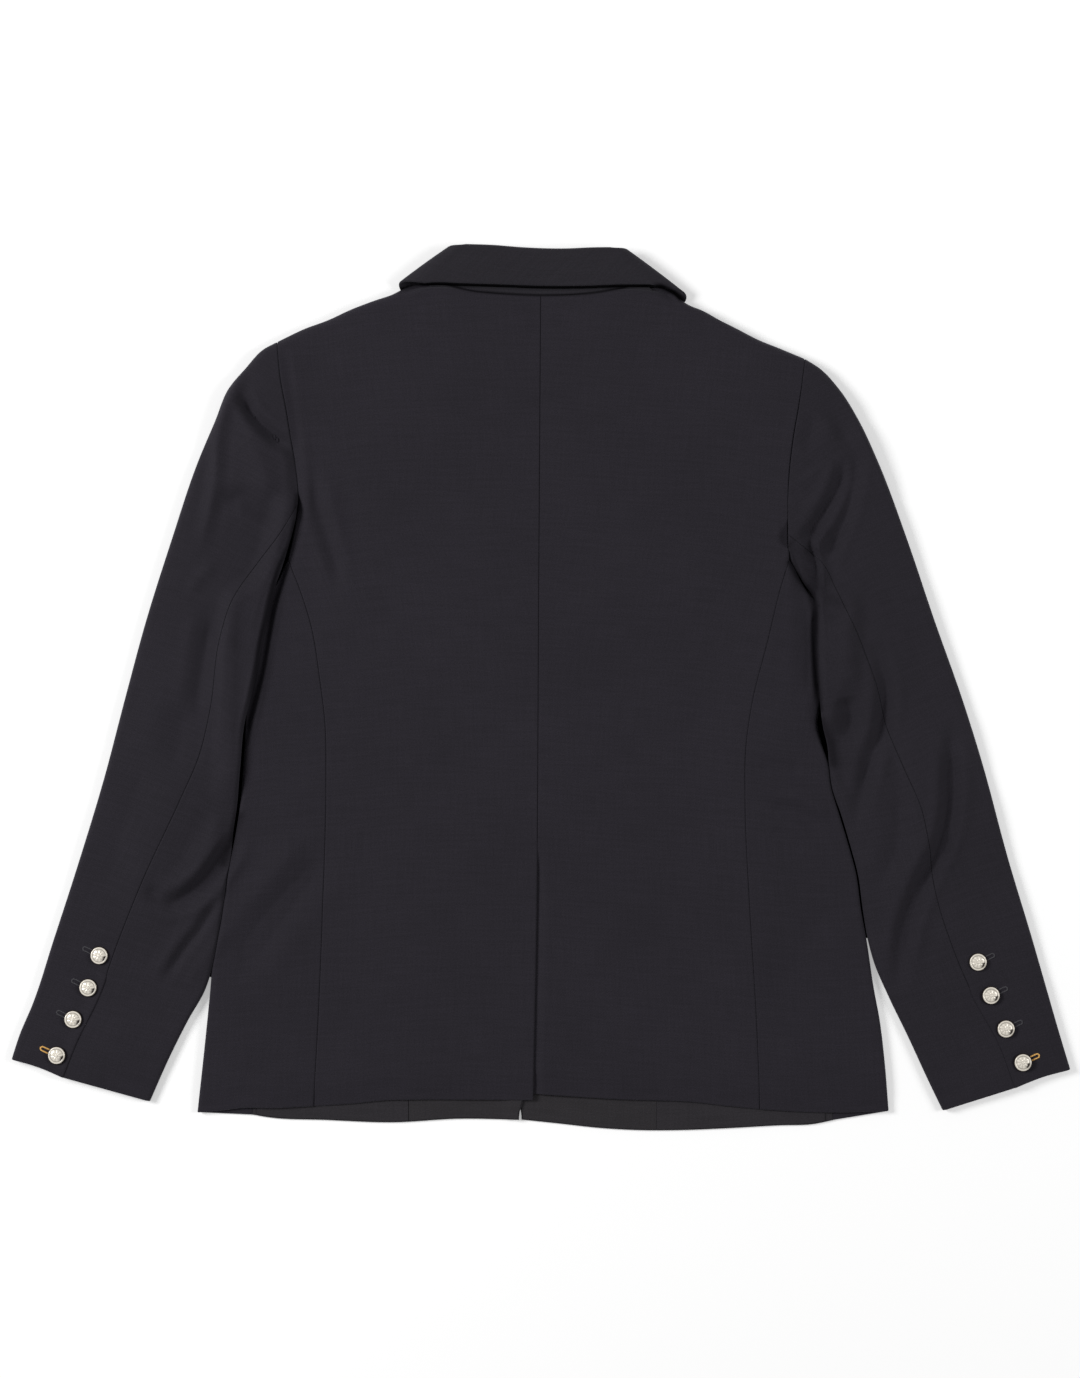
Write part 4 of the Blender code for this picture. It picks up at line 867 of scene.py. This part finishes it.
def sleeve(side):
    line = OUTLINES[side]
    sign = side_sign(side)
    shares = spread(SLEEVE_LENGTH, SLEEVE_STEP)
    folds_at = {"top": smooth_line(line["sleeve_outer"]), "under": smooth_line(line["sleeve_inner"])}
    arm = at(arm_line(side)[::-1], np.linspace(0, 1, ARM_POINTS))
    pieces = []
    for piece in ("top", "under"):
        layers = []
        for seam_name, columns, top in zip(("sleeve_seam", "front_seam"), SLEEVE_COLUMNS[piece], (True, False)):
            seam, fold = at(smooth_line(line[seam_name]), shares), at(folds_at[piece], shares)
            a, b = sorted(np.linalg.norm(arm - p, axis=1).argmin() for p in (fold[-1], seam[-1]))
            high = arm[a: b] if piece == "top" else arm[a + 1: b + 1][::-1]
            fold[-1], seam[-1] = high[0], high[-1]
            at_fold = sleeve_pile(shares, 0.0 if piece == "top" else 1.0)
            cuff = np.array([fold[0], (fold[0] + seam[0]) / 2, seam[0]])
            if piece == "top":
                cuff[1] -= sign * CUFF_BOW * left_of(seam[0] - fold[0])
            plan = from_fold(smooth_line(cuff), high, fold, seam, at_fold, columns)
            edges = []
            for name, inside in (("top", sign), ("under", -sign)):
                far, way = distance(plan, folds_at[name], inside, past_ends=True)
                far = np.maximum(far, 0)
                if name == piece:
                    far[:, 0] = 0
                edges.append((far, way))
            across = edges[0][0] / (edges[0][0] + edges[1][0] + 1e-6)
            pile = sleeve_pile(shares[:, None], across)
            bed = sleeve_bed(side, plan)
            if ARMPIT_SINK[side]:
                bed = bed * ease(np.abs(distance(plan, smooth_line(line["armpit"]), 1)[0]) / ARMPIT_SINK[side])
            level = np.maximum(body_pile(plan) - bed, pile)
            pile = pile + (level - pile) * ease(1 - np.abs(distance(plan, arm_line(side), 1)[0]) / FLUSH)
            extra = cloth_shape(plan)
            if top and piece == "top":
                from_seam = np.linalg.norm(plan - plan[:, -1:], axis=-1)
                open_part = ease((VENT_LONG - shares * SLEEVE_LENGTH) / VENT_TAPER)[:, None]
                extra = extra + VENT_HIGH * open_part * ease(1.15 - from_seam / 9)
                way = unit(plan[:, -1] - plan[:, -2])
                plan = plan + way[:, None] * (VENT_PAST * open_part * ease(1.05 - from_seam / 20))[..., None]
            outer, inner = rolled(plan, bed, pile, edges, top, extra)
            # the end row's wall stays in the armhole's line
            run = unit(np.gradient(plan[-1], axis=0))
            moved = ((inner - outer)[-1, :, :2] * run).sum(axis=1)
            inner[-1, :, :2] = outer[-1, :, :2] + run * moved[:, None]
            layers.append((outer, inner))
        pieces.append(shell(f"sleeve_{piece}_{side}_cloth", *round_fold(*layers)))
    return pieces


sleeves = sleeve("left") + sleeve("right")

# %% [markdown]
# ## The dark between sleeve and body
# The gap between a sleeve and the side it lies against is almost black, because little light gets down there. Left
# open it would let the pale floor shine up through it. So a strip of painted shade, a near-black sheet, runs below
# the gap, and on along each armhole below the top layer. It reaches far under the sleeve, and its edges hang low, so
# that none of the floor shows past it when the blazer is seen from a low side.

# %% Strips below the gaps
STRIP_IN, STRIP_OUT = 9, 24     # how far it reaches below the body and below the sleeve
STRIP_NARROWS = (560, 60)       # near the shoulder it is narrower: from this height down, over this far
STRIP_FROM = {"left": 127, "right": 160}
STRIP_PAST_FOLD = 4     # how far its middle lies outside the body's fold
STRIP_LOW = 5.2         # from the body's surface down to the strip's top
STRIP_BOW = 3           # how far its edges hang lower, so that no light creeps under from the side
STRIP_LOWEST, STRIP_THICK = 1.3, 0.8


# A near-black strip of painted shade below the gap beside the sleeve and along the armhole.
def armhole_strip(side):
    fold = smooth_line(OUTLINES[side]["side_fold"])
    fold = fold[fold[:, 1] > STRIP_FROM[side]] + (side_sign(side) * STRIP_PAST_FOLD, 0)
    line = np.concatenate([fold, arm_line(side)])
    line = at(line, spread(run_of(line)[-1] * 0.98, 3) * 0.98)
    out = -side_sign(side) * left_of(np.gradient(line, axis=0))
    reach = STRIP_IN + (STRIP_OUT - STRIP_IN) * ease((STRIP_NARROWS[0] - line[:, 1:]) / STRIP_NARROWS[1])
    across = reach * np.linspace(0, 1, 9) - STRIP_IN * np.linspace(1, 0, 9)
    plan = line[:, None] + out[:, None] * across[..., None]
    z = body_pile(line)[:, None] - STRIP_LOW - STRIP_BOW * np.clip(across / STRIP_IN, -1, 1) ** 2
    outer = at_height(plan, np.maximum(z, STRIP_LOWEST))
    return shell(f"armhole_strip_{side}", outer, outer - (0, 0, STRIP_THICK), round_over=False)


strips = [armhole_strip(side) for side in ("left", "right")]
print("strips below the gaps:", len(strips))

# %% [markdown]
# ## Collar
# The collar is a standing band sewn to the neck and a leaf that turns down over it. The leaf's roll is its highest
# part, round and a little full, and its free edge lies on the back and throws a dark shadow there, cast by a dip below
# it and deepened by painted shade. At each shoulder the leaf turns right under and runs on below the fronts, so its
# net is turned about the middle of the pile.

# %% Collar
ROLL_HEIGHT = 16.5      # crest of the roll
ROLL_BULGE = 0.8        # how far the leaf arches over its straight slope
ROLL_RADIUS = 3.2       # of the rolled edge
STAND_HIGH = 11.6       # top of the standing band
STAND_UNDER = 2.2       # how far it reaches below the back's neck edge
STAND_DIP = 6.6         # how deep it sinks along the leaf's edge, where the shadow is
STAND_DIP_AT = (-0.7, 1.9)      # how far above the edge it is deepest, and the dip's half width
STAND_LIP = (1.25, 1.2)         # how far it stays below the back at the neck, and over what width
NECK_HALF = 94          # how far from the middle it reaches
ROLL_TURN = (-38, -20, 0, 15, 30, 45, 60, 75, 90)       # the rolled edge's points, degrees
LEAF_END = (66, 6)      # length of the leaf's turned-under end, and the step between its rows
LEAF_ROWS, TURN_ROWS, LEAF_COLUMNS = 61, 33, 15
STAND_STEP, STAND_TALL, STAND_ROWS_STEP = 2.6, 34, 0.9
COLLAR_ROLL = [(-62, 735.7), (-40.5, 735), (-15, 733), (19, 732), (44, 733), (57, 733.1)]
COLLAR_EDGE = [(-97, 703.3), (-88, 704), (-65.5, 703.3), (-32.5, 702.3), (2, 701.2), (35.5, 701.2), (69.5, 702.3),
               (90, 702.2)]
STAND_TOP = [(-68, 726.5), (-40, 730.5), (-15, 729), (19, 728), (44, 728.8), (63, 724.5)]
# The line that the leaf turns about at each shoulder, from its roll to its edge: at the start, half way and end of
# the turn, and at the leaf's end below
COLLAR_TURN = {
    "left": [((-62, 735.7), (-97, 703.3)), ((-70.4, 728.2), (-113.4, 698.4)), ((-69.8, 726), (-110.5, 691.5)),
             ((-62.3, 660), (-108, 639))],
    "right": [((57, 733.1), (90, 702.2)), ((65.3, 726), (115.4, 689.5)), ((64.5, 724), (112, 683)),
              ((54.2, 658), (106, 637))],
}


def collar_rows(side):
    """Rows of (roll point, edge point, turn in radians, roundness of the rolled edge), from the back to one side."""
    if side == "back":
        shares = np.linspace(0, 1, LEAF_ROWS)
        rolls, edges = at(smooth_line(COLLAR_ROLL), shares), at(smooth_line(COLLAR_EDGE), shares)
        return [(roll, edge, 0.0, 1.0) for roll, edge in zip(rolls, edges)]
    start, half, end, tip = (np.array(pair, float) for pair in COLLAR_TURN[side])
    turning = [(*through(start, half, end, t), math.pi * t, 1 - 0.4 * t) for t in np.linspace(0, 1, TURN_ROWS)[1:]]
    below = [(*(end + (tip - end) * t), math.pi, 0.6 * (1 - t)) for t in spread(*LEAF_END, low=(0,))[1:]]
    return turning + below


def collar_section(side, roll, edge, turn, weight):
    """Outer and inner points of the leaf along one line from its roll to its edge, turned about mid height."""
    width = np.linalg.norm(edge - roll)
    down = unit(edge - roll)
    outwards = left_of(down)
    outwards *= side_sign(side) * np.sign(outwards[0])
    angle = np.radians(ROLL_TURN)
    flat_part = np.r_[np.linspace(ROLL_RADIUS, width - EDGE_STEPS[-1], LEAF_COLUMNS)[1:], width - EDGE_STEPS[-2::-1]]
    zeros, ones = np.zeros(len(flat_part)), np.ones(len(flat_part))
    far = np.r_[ROLL_RADIUS * (1 - np.cos(angle)), flat_part]
    low = np.r_[ROLL_RADIUS * (1 - np.sin(angle)), zeros]
    along, under = np.r_[np.cos(angle), zeros], np.r_[np.sin(angle), ones]
    share = far / width
    top = ROLL_HEIGHT * (1 - share) + (body_pile(edge) + LAYER) * share + ROLL_BULGE * np.sin(math.pi * share)

    def place(far, radius):
        flat = roll + down * far[:, None] + outwards * (radius * math.sin(turn))[:, None]
        return np.column_stack([flat, top / 2 + radius * math.cos(turn)])

    radius = top / 2 - low * weight
    return place(far, radius), place(far + along * WALL, radius - under * WALL)


rows = [("left",) + row for row in collar_rows("left")[::-1]]
rows += [("right",) + row for row in collar_rows("back") + collar_rows("right")]
leaf = shell("collar_fall_cloth", *map(np.array, zip(*(collar_section(*row) for row in rows))))

neck = joined(smooth_line(OUTLINES["left"]["neck"]), smooth_line(OUTLINES["right"]["neck"])[::-1])
neck = neck[np.abs(neck[:, 0]) < NECK_HALF]
shares = spread(run_of(neck)[-1], STAND_STEP)
low, high = at(neck, shares) - (0, STAND_UNDER), at(smooth_line(STAND_TOP), shares)
up = spread(STAND_TALL, STAND_ROWS_STEP)[:, None]
plan = net(low, high, low[0] + (high[0] - low[0]) * up, low[-1] + (high[-1] - low[-1]) * up)
edge = smooth_line(COLLAR_EDGE)
past = plan[..., 1] - np.interp(plan[..., 0], edge[:, 0], edge[:, 1])
under_back = plan[..., 1] - np.interp(plan[..., 0], neck[:, 0], neck[:, 1])
z = body_pile(plan) * (1 - up) + STAND_HIGH * up
z -= STAND_DIP * np.exp(-((past - STAND_DIP_AT[0]) / STAND_DIP_AT[1]) ** 2)
z -= STAND_LIP[0] * ease(1 - under_back / STAND_LIP[1])
outer = at_height(plan, z)
stand = shell("collar_stand_cloth", outer, outer - (0, 0, WALL))

# %% [markdown]
# ## Painted shade where cloth presses on cloth
# Under the collar's edge, along the neck seam and where a sleeve lies against the body, two cloths touch and the
# light is lost between them. Real wool shows this as a soft dark line, finer than the points of the cloth's net can
# hollow out. So this shade is painted: the loss is stored on the points of the pieces seen from above, and the wool's
# finish darkens its colour, sheen and gloss by it.

# %% Painted shade where cloth presses
for thing in backs + sides + sleeves + [stand, leaf]:
    mesh = thing.data
    where = np.array([vertex.co[:2] for vertex in mesh.vertices]) / MM - MOVED
    dark = pressed(where, PAINTED_SHADE_AT_LEAF_TIPS if thing is leaf else PAINTED_SHADE_LINES)
    mesh.attributes.new("pressed", "FLOAT", "POINT").data.foreach_set("value", dark.astype(np.float32))
    print(thing.name, "points in shade:", int((dark > 0.1).sum()))

# %% [markdown]
# ## Cloth
# The wool is a fine twill in a very dark purple grey. A dark matt cloth is mostly read from its highlights, so the
# finish here is a little sheen over a rough surface with hardly any gloss. Three things are laid over each other,
# from large to small: slow changes of tone where the cloth was pressed, a soft nap, and the twill's slanting lines.
# The weave follows each panel's own lengths, so it turns where the panel turns. Then the painted shade where cloth
# presses on cloth takes its share of the light away from all of them, from the colour, the sheen and the gloss.

# %% Wool and thread finishes
def new_finish(name):
    """A finish, its main shader, and helpers that feed a node's inputs and that add a node."""
    finish = bpy.data.materials.new(name)
    finish.use_nodes = True
    tree = finish.node_tree

    def feed(node, inputs):
        """Give inputs their values, or link them to what another node puts out."""
        for socket, value in inputs.items():
            if isinstance(value, bpy.types.NodeSocket):
                tree.links.new(value, node.inputs[socket])
            else:
                node.inputs[socket].default_value = value

    def add(kind, inputs, output=0, **settings):
        node = tree.nodes.new("ShaderNode" + kind)
        for setting, value in settings.items():
            setattr(node, setting, value)
        feed(node, inputs)
        return node.outputs[output]

    return finish, tree.nodes["Principled BSDF"], feed, add


def wool(name, colour, spread_of_tone=0.06, sheen=0.12):
    finish, shader, feed, add = new_finish(name)
    cloth = add("UVMap", {}, uv_map="cloth")
    tone = add("TexNoise", {"Vector": add("TexCoord", {}, "Object"), "Scale": 9, "Detail": 3})
    fleck = add("TexNoise", {"Vector": cloth, "Scale": 900, "Detail": 2})
    slubs = [add("TexNoise", {"Vector": add("Mapping", {"Vector": cloth, "Scale": stretch}), "Scale": 1, "Detail": 2})
             for stretch in ((26, 420, 1), (480, 30, 1))]
    # painted shade: the light left where cloth presses on cloth scales the colour, the sheen and the gloss
    light_left = add("Math", {0: 1, 1: add("Attribute", {}, "Fac", attribute_name="pressed")}, operation="SUBTRACT")
    shade = light_left
    for source, amount in ((tone, spread_of_tone), (fleck, 0.20), (slubs[0], 0.07), (slubs[1], 0.05)):
        scaled = add("MapRange", {"Value": source, "From Min": 0.3, "From Max": 0.7, "To Min": 1 - amount,
                                  "To Max": 1 + amount})
        shade = add("Math", {0: shade, 1: scaled}, operation="MULTIPLY")
    twill = add("TexWave", {"Vector": cloth, "Scale": 290, "Distortion": 1.2, "Detail": 1}, "Fac",
                bands_direction="DIAGONAL")
    weave = add("Bump", {"Strength": 0.35, "Distance": 0.00012, "Height": twill})
    nap = add("Bump", {"Strength": 0.3, "Distance": 0.0003, "Height": fleck, "Normal": weave})
    feed(shader, {
        "Base Color": add("VectorMath", {0: colour, "Scale": shade}, operation="SCALE"),
        "Normal": nap,
        "Roughness": 0.85,
        "Specular IOR Level": add("Math", {0: light_left, 1: 1.5 * sheen}, operation="MULTIPLY"),
        "Sheen Weight": add("Math", {0: light_left, 1: sheen}, operation="MULTIPLY"),
        "Sheen Roughness": 0.45,
        "Sheen Tint": (0.9, 0.88, 1.0, 1),
    })
    return finish


def thread(name, colour):
    finish, shader, feed, add = new_finish(name)
    fibre = add("TexNoise", {"Vector": add("TexCoord", {}, "Object"), "Scale": 1800})
    shade = add("MapRange", {"Value": fibre, "To Min": 0.7, "To Max": 1.3})
    feed(shader, {"Base Color": add("VectorMath", {0: colour, "Scale": shade}, operation="SCALE"), "Roughness": 0.6,
                  "Specular IOR Level": 0.3})
    return finish


finishes = {
    "back": wool("wool of the back", (0.0207, 0.0182, 0.0247)),
    "side": wool("wool of the sides", (0.0200, 0.0176, 0.0240)),
    "sleeve": wool("wool of the sleeves", (0.0195, 0.0172, 0.0232)),
    "collar": wool("wool of the collar", (0.0212, 0.0192, 0.0245)),
    # painted light: the fronts' inside and facing are lighter than the same wool elsewhere, against the back hem's
    # shade
    "front": wool("wool inside the fronts", (0.0285, 0.0258, 0.0300)),
    "facing": wool("facing inside the fronts", (0.0296, 0.0270, 0.0302)),
    # a near-black sheet that stands in for the shade in the gaps beside the sleeves
    "lining": wool("near-black sheet of painted shade", (0.0012, 0.0011, 0.0014), sheen=0.0),
    "lapel": wool("wool of the lapels", (0.0195, 0.0178, 0.0232)),
}
dark_thread = thread("dark thread", (0.072, 0.070, 0.080))
gold_thread = thread("gold thread", (0.92, 0.55, 0.17))
print("finishes:", sorted(finishes))

# %% [markdown]
# ## Pieces and their finishes
# Each cloth piece takes the place of its imported solid and moves with the whole blazer, since no joint is meant to
# move.

# %% Pieces and finishes
def settle(thing, node, finish, stands_for=True):
    """Give a piece its finish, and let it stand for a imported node, or only go with it."""
    thing.data.materials.append(finish)
    if stands_for:
        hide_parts(node)
    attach(thing, "root")


for thing in backs + sides + fronts + lapels + sleeves + [leaf, stand]:
    node = thing.name.removesuffix("_cloth")
    settle(thing, node, finishes[node.split("_")[0]])
for thing, side in zip(hems, ("left", "left", "right", "right")):
    settle(thing, f"front_{side}", finishes["facing" if "facing" in thing.name else "front"], stands_for=False)
for thing, side in zip(strips, ("left", "right")):
    settle(thing, f"side_{side}", finishes["lining"], stands_for=False)

# %% [markdown]
# ## Metal buttons
# Blazer buttons are stamped from thin brass and stand on a wire shank. These have a plain rim of small beads round a
# fluted dome, a design that belongs to nobody. Each is turned from one profile and then fluted and beaded by moving
# its points in and out, which is less work than carving and keeps every button the same but for its angle. A bright
# button is mostly read from its dark parts, so its shade is painted: its grooves, its rim and a patch on its dome
# are set dark.

# %% Buttons
def metal():
    """Pale gold. Each point of a button stores how much light it keeps, a painted shade that keeps the grooves dark."""
    finish, shader, feed, add = new_finish("pale gold metal")
    kept = add("Attribute", {}, "Fac", attribute_name="depth")
    wear = add("TexNoise", {"Vector": add("TexCoord", {}, "Object"), "Scale": 400})
    feed(shader, {
        "Base Color": add("Mix", {"A": (0.03, 0.02, 0.013, 1), "B": (1.0, 0.935, 0.82, 1), "Factor": kept}, "Result",
                          data_type="RGBA"),
        "Roughness": add("MapRange", {"Value": wear, "To Min": 0.16, "To Max": 0.34}),
        "Metallic": 0.1,
    })
    return finish


metal_finish = metal()
# share of the radius, share of the height, its kind (1 is fluted, 2 is beaded), and how bright it stays (less is
# painted shade)
BUTTON_PROFILE = [
    (0.0, 1.0, 0, 1), (0.12, 0.99, 0, 1), (0.17, 0.95, 0.3, 0.6), (0.22, 0.965, 1, 1), (0.34, 0.95, 1, 1),
    (0.48, 0.89, 1, 1), (0.60, 0.80, 1, 1), (0.68, 0.71, 0.5, 0.6), (0.72, 0.64, 0, 0.35), (0.765, 0.68, 0, 0.8),
    (0.82, 0.73, 2, 1), (0.87, 0.71, 2, 1), (0.905, 0.65, 0, 1), (0.93, 0.58, 0, 0.1), (1.0, 0.36, 0, 0),
    (0.985, 0.16, 0, 0), (0.90, 0.05, 0, 0), (0.0, 0.0, 0, 0.2),
]
ROUND = 144             # points round a button
FLUTES, BEADS = 9, 36
FLUTE_DEEP, BEAD_DEEP = 0.07, 0.035     # shares of the button's height
SPOT_WAY, SPOT_OUT = math.radians(-28), 0.64    # the dark patch painted on each dome: its direction and share of the radius
SHANK_WIDE, SHANK_LONG = 3.6, 1.6
TILT = 0.03             # how far a cuff button leans


def button(name, node, facing=1, lean=(0, 0)):
    low, high = np.array(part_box(node)) / MM
    radius, height = (high - low)[0] / 2, (high - low)[2]
    profile = smooth_line(BUTTON_PROFILE, 3)
    turn = np.linspace(0, 2 * math.pi, ROUND, endpoint=False)
    share, up, kind, bright = profile.T[..., None]
    fluted = np.clip(1 - abs(kind - 1), 0, 1) * (0.5 - 0.5 * np.cos(FLUTES * turn)) ** 0.7
    beaded = np.clip(kind - 1, 0, 1) * (0.5 - 0.5 * np.cos(BEADS * turn)) ** 0.6
    x, y = share * radius * np.cos(turn), share * radius * np.sin(turn)
    z = (up - FLUTE_DEEP * fluted - BEAD_DEEP * beaded) * height + (lean[0] * x + lean[1] * y)
    spot = np.exp(-((share - SPOT_OUT) / 0.17) ** 2 - ((np.cos(turn - SPOT_WAY) - 1) / 0.10) ** 2)
    # painted shade: darker in the flutes' grooves, between beads, at the rim and in one patch
    light = np.clip(bright - 0.3 * fluted**3 - 0.1 * beaded - 0.95 * spot, 0, 1)
    points = np.stack([x, y, z], axis=-1).reshape(-1, 3) * (1, facing, facing)
    i, j = np.meshgrid(np.arange(len(profile) - 1), np.arange(ROUND), indexing="ij")
    k = (j + 1) % ROUND
    faces = np.stack([i * ROUND + j, i * ROUND + k, (i + 1) * ROUND + k, (i + 1) * ROUND + j], axis=-1).reshape(-1, 4)
    middle = (low + high) / 2
    middle[2] = low[2] if facing > 0 else high[2]
    mesh = bpy.data.meshes.new(name)
    mesh.from_pydata(((points + middle) * MM).tolist(), [], faces[:, ::-1].tolist())
    mesh.attributes.new("depth", "FLOAT", "POINT").data.foreach_set("value", light.ravel())
    build = bmesh.new()
    build.from_mesh(mesh)
    bmesh.ops.remove_doubles(build, verts=build.verts, dist=1e-7)
    bmesh.ops.create_cone(build, cap_ends=True, segments=20, radius1=SHANK_WIDE / 2 * MM,
                          radius2=SHANK_WIDE / 2 * MM, depth=SHANK_LONG * MM,
                          matrix=Matrix.Translation((middle + (0, 0, -0.6 * facing)) * MM))
    bmesh.ops.recalc_face_normals(build, faces=build.faces)
    build.to_mesh(mesh)
    build.free()
    mesh.shade_smooth()
    settle(added(name, mesh), node, metal_finish)


for side in OUTLINES:
    for number in range(1, 5):
        lean = (TILT * math.sin(number * 2.1), TILT * math.cos(number * 1.7))
        button(f"{side}_cuff_button_{number}", f"cuff_button_{side}_{number}", lean=lean)
button("lower_front_button", "front_button", facing=-1)
print("buttons: 8 at the cuffs and 1 below")

# %% [markdown]
# ## Buttonholes
# Each cuff button sits at one end of a worked buttonhole, whose rim is a row of knotted stitches. The stitches are
# small beads of thread set side by side round a long loop, each lying across the loop as the thread does. The lowest
# hole on each sleeve is sewn in gold.

# %% Buttonholes
HOLE_LONG, HOLE_WIDE = 18.0, 3.3
HOLE_START = 1.5        # how far past the button's middle the hole begins
HOLE_WAY = {"left": (-0.905, 0.425), "right": (0.91, 0.41)}
STITCH = 0.72           # from one stitch to the next
KNOT = (0.72, 0.40, 0.42)       # half a stitch's size across the loop, along it and up
KNOT_LIFT = 0.18        # a stitch's middle, above the cloth


def bead():
    """A little ball of points, one unit in radius."""
    build = bmesh.new()
    bmesh.ops.create_uvsphere(build, u_segments=8, v_segments=5, radius=1)
    build.verts.ensure_lookup_table()
    verts = np.array([v.co[:] for v in build.verts])
    faces = [[v.index for v in f.verts] for f in build.faces]
    build.free()
    return verts, faces


def buttonhole(side, number, centre, surface):
    """A long loop of stitches, each set down on the sleeve's own surface."""
    way = unit(np.array(HOLE_WAY[side]))
    across = left_of(way)
    half, straight = HOLE_WIDE / 2, HOLE_LONG - HOLE_WIDE
    start = np.array(centre) - way * HOLE_START
    count = round(straight / STITCH)
    turn = np.linspace(-math.pi / 2, math.pi / 2, 8)
    loop = [(s, -half, -1.0, 0.0) for s in np.linspace(0, straight, count)]
    loop += [(straight + half * math.cos(a), half * math.sin(a), math.sin(a), math.cos(a)) for a in turn[1:-1]]
    loop += [(s, half, 1.0, 0.0) for s in np.linspace(straight, 0, count)]
    ball, ball_faces = bead()
    points, faces = [], []
    for index, (s, off, out_across, out_along) in enumerate(loop):
        place = start + way * s + across * off
        hit = surface.ray_cast((*((place + MOVED) * MM), 0.1), (0, 0, -1))
        if hit[0] is None:
            continue
        out = across * out_across + way * out_along
        size = 1 + 0.12 * math.sin(index * 2.3)
        flat = ball[:, :1] * out * KNOT[0] * size + ball[:, 1:2] * left_of(out) * KNOT[1]
        lifted = hit[0].z / MM + KNOT_LIFT + ball[:, 2] * KNOT[2]
        faces += [[corner + len(ball) * len(points) for corner in face] for face in ball_faces]
        points.append(np.column_stack([place + MOVED + flat, lifted]))
    mesh = bpy.data.meshes.new(f"{side}_cuff_hole_{number}")
    mesh.from_pydata((np.concatenate(points) * MM).tolist(), [], faces)
    mesh.shade_smooth()
    mesh.materials.append(gold_thread if number == 4 else dark_thread)
    thing = added(mesh.name, mesh)
    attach(thing, "root")


for side, top in zip(OUTLINES, (sleeves[0], sleeves[2])):
    surface = BVHTree.FromPolygons([v.co for v in top.data.vertices], [p.vertices for p in top.data.polygons])
    for number, centre in enumerate(OUTLINES[side]["cuff_buttons"], 1):
        buttonhole(side, number, centre, surface)
print("buttonholes: 8, the lowest pair in gold")

# %% [markdown]
# ## Camera, floor and light
# The picture was taken from straight above, from far enough away that the near parts look no larger than the far
# ones. The floor is plain and nearly white. A dark cloth needs light from one side to show its creases, so a large
# soft light stands low on the left. A weaker one on the right and the pale surroundings fill the rest.

# %% Camera, floor and light
EYE_HIGH = 3.5          # metres above the cloth
CLOTH_HIGH = 0.008
PICTURE_HIGH = 1.14374  # metres of floor from the picture's top to its bottom
SENSOR = 36
FLOOR_HALF, FLOOR_DOWN = 3, 0.0005

scene = bpy.context.scene
eye = added("camera", bpy.data.cameras.new("camera"))
eye.location = (-0.0008, -0.0009, EYE_HIGH + CLOTH_HIGH)
eye.data.sensor_fit = "VERTICAL"
eye.data.sensor_height = SENSOR
eye.data.lens = SENSOR * EYE_HIGH / PICTURE_HIGH
eye.data.dof.use_dof = False
scene.camera = eye

floor = bpy.data.meshes.new("floor")
corners = [(x * FLOOR_HALF, y * FLOOR_HALF, -FLOOR_DOWN) for x, y in ((-1, -1), (1, -1), (1, 1), (-1, 1))]
floor.from_pydata(corners, [], [(0, 1, 2, 3)])
floor = added("floor", floor)
paper, shader, feed, _ = new_finish("pale floor")
feed(shader, {"Base Color": (0.86, 0.86, 0.86, 1), "Roughness": 0.9, "Specular IOR Level": 0.1,
              "Emission Color": (1, 1, 1, 1), "Emission Strength": 0.34})
floor.data.materials.append(paper)


def soft_light(name, place, size, power):
    lamp = bpy.data.lights.new(name, "AREA")
    lamp.shape, lamp.size, lamp.energy = "DISK", size, power
    lamp = added(name, lamp)
    lamp.location = place
    lamp.rotation_euler = (-lamp.location).to_track_quat("-Z", "Y").to_euler()
    lamp.visible_camera = False


soft_light("left light", (-2.7, 0.7, 2.0), 1.3, 85)
soft_light("right light", (2.7, 0.2, 1.9), 1.3, 37)

around = bpy.data.worlds.new("pale surroundings")
around.use_nodes = True
background = around.node_tree.nodes["Background"].inputs
background["Color"].default_value, background["Strength"].default_value = (1.0, 1.0, 1.0, 1), 0.22
scene.world = around
scene.view_settings.view_transform = "Standard"
floor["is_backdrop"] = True
print("camera's lens, mm:", round(eye.data.lens, 1))

# %% [markdown]
# ## Sizes
# The size of what is shown is kept next to the imported model's, and the shown size is printed.

# %% Sizes, and the end
shown_low, shown_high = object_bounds()
size = {"cad": [[float(value) for value in corner] for corner in (cad_low, cad_high)],
        "shown": [[float(value) for value in corner] for corner in (shown_low, shown_high)]}
print("shown size, mm:", [round(float(b - a) / MM, 1) for a, b in zip(shown_low, shown_high)])
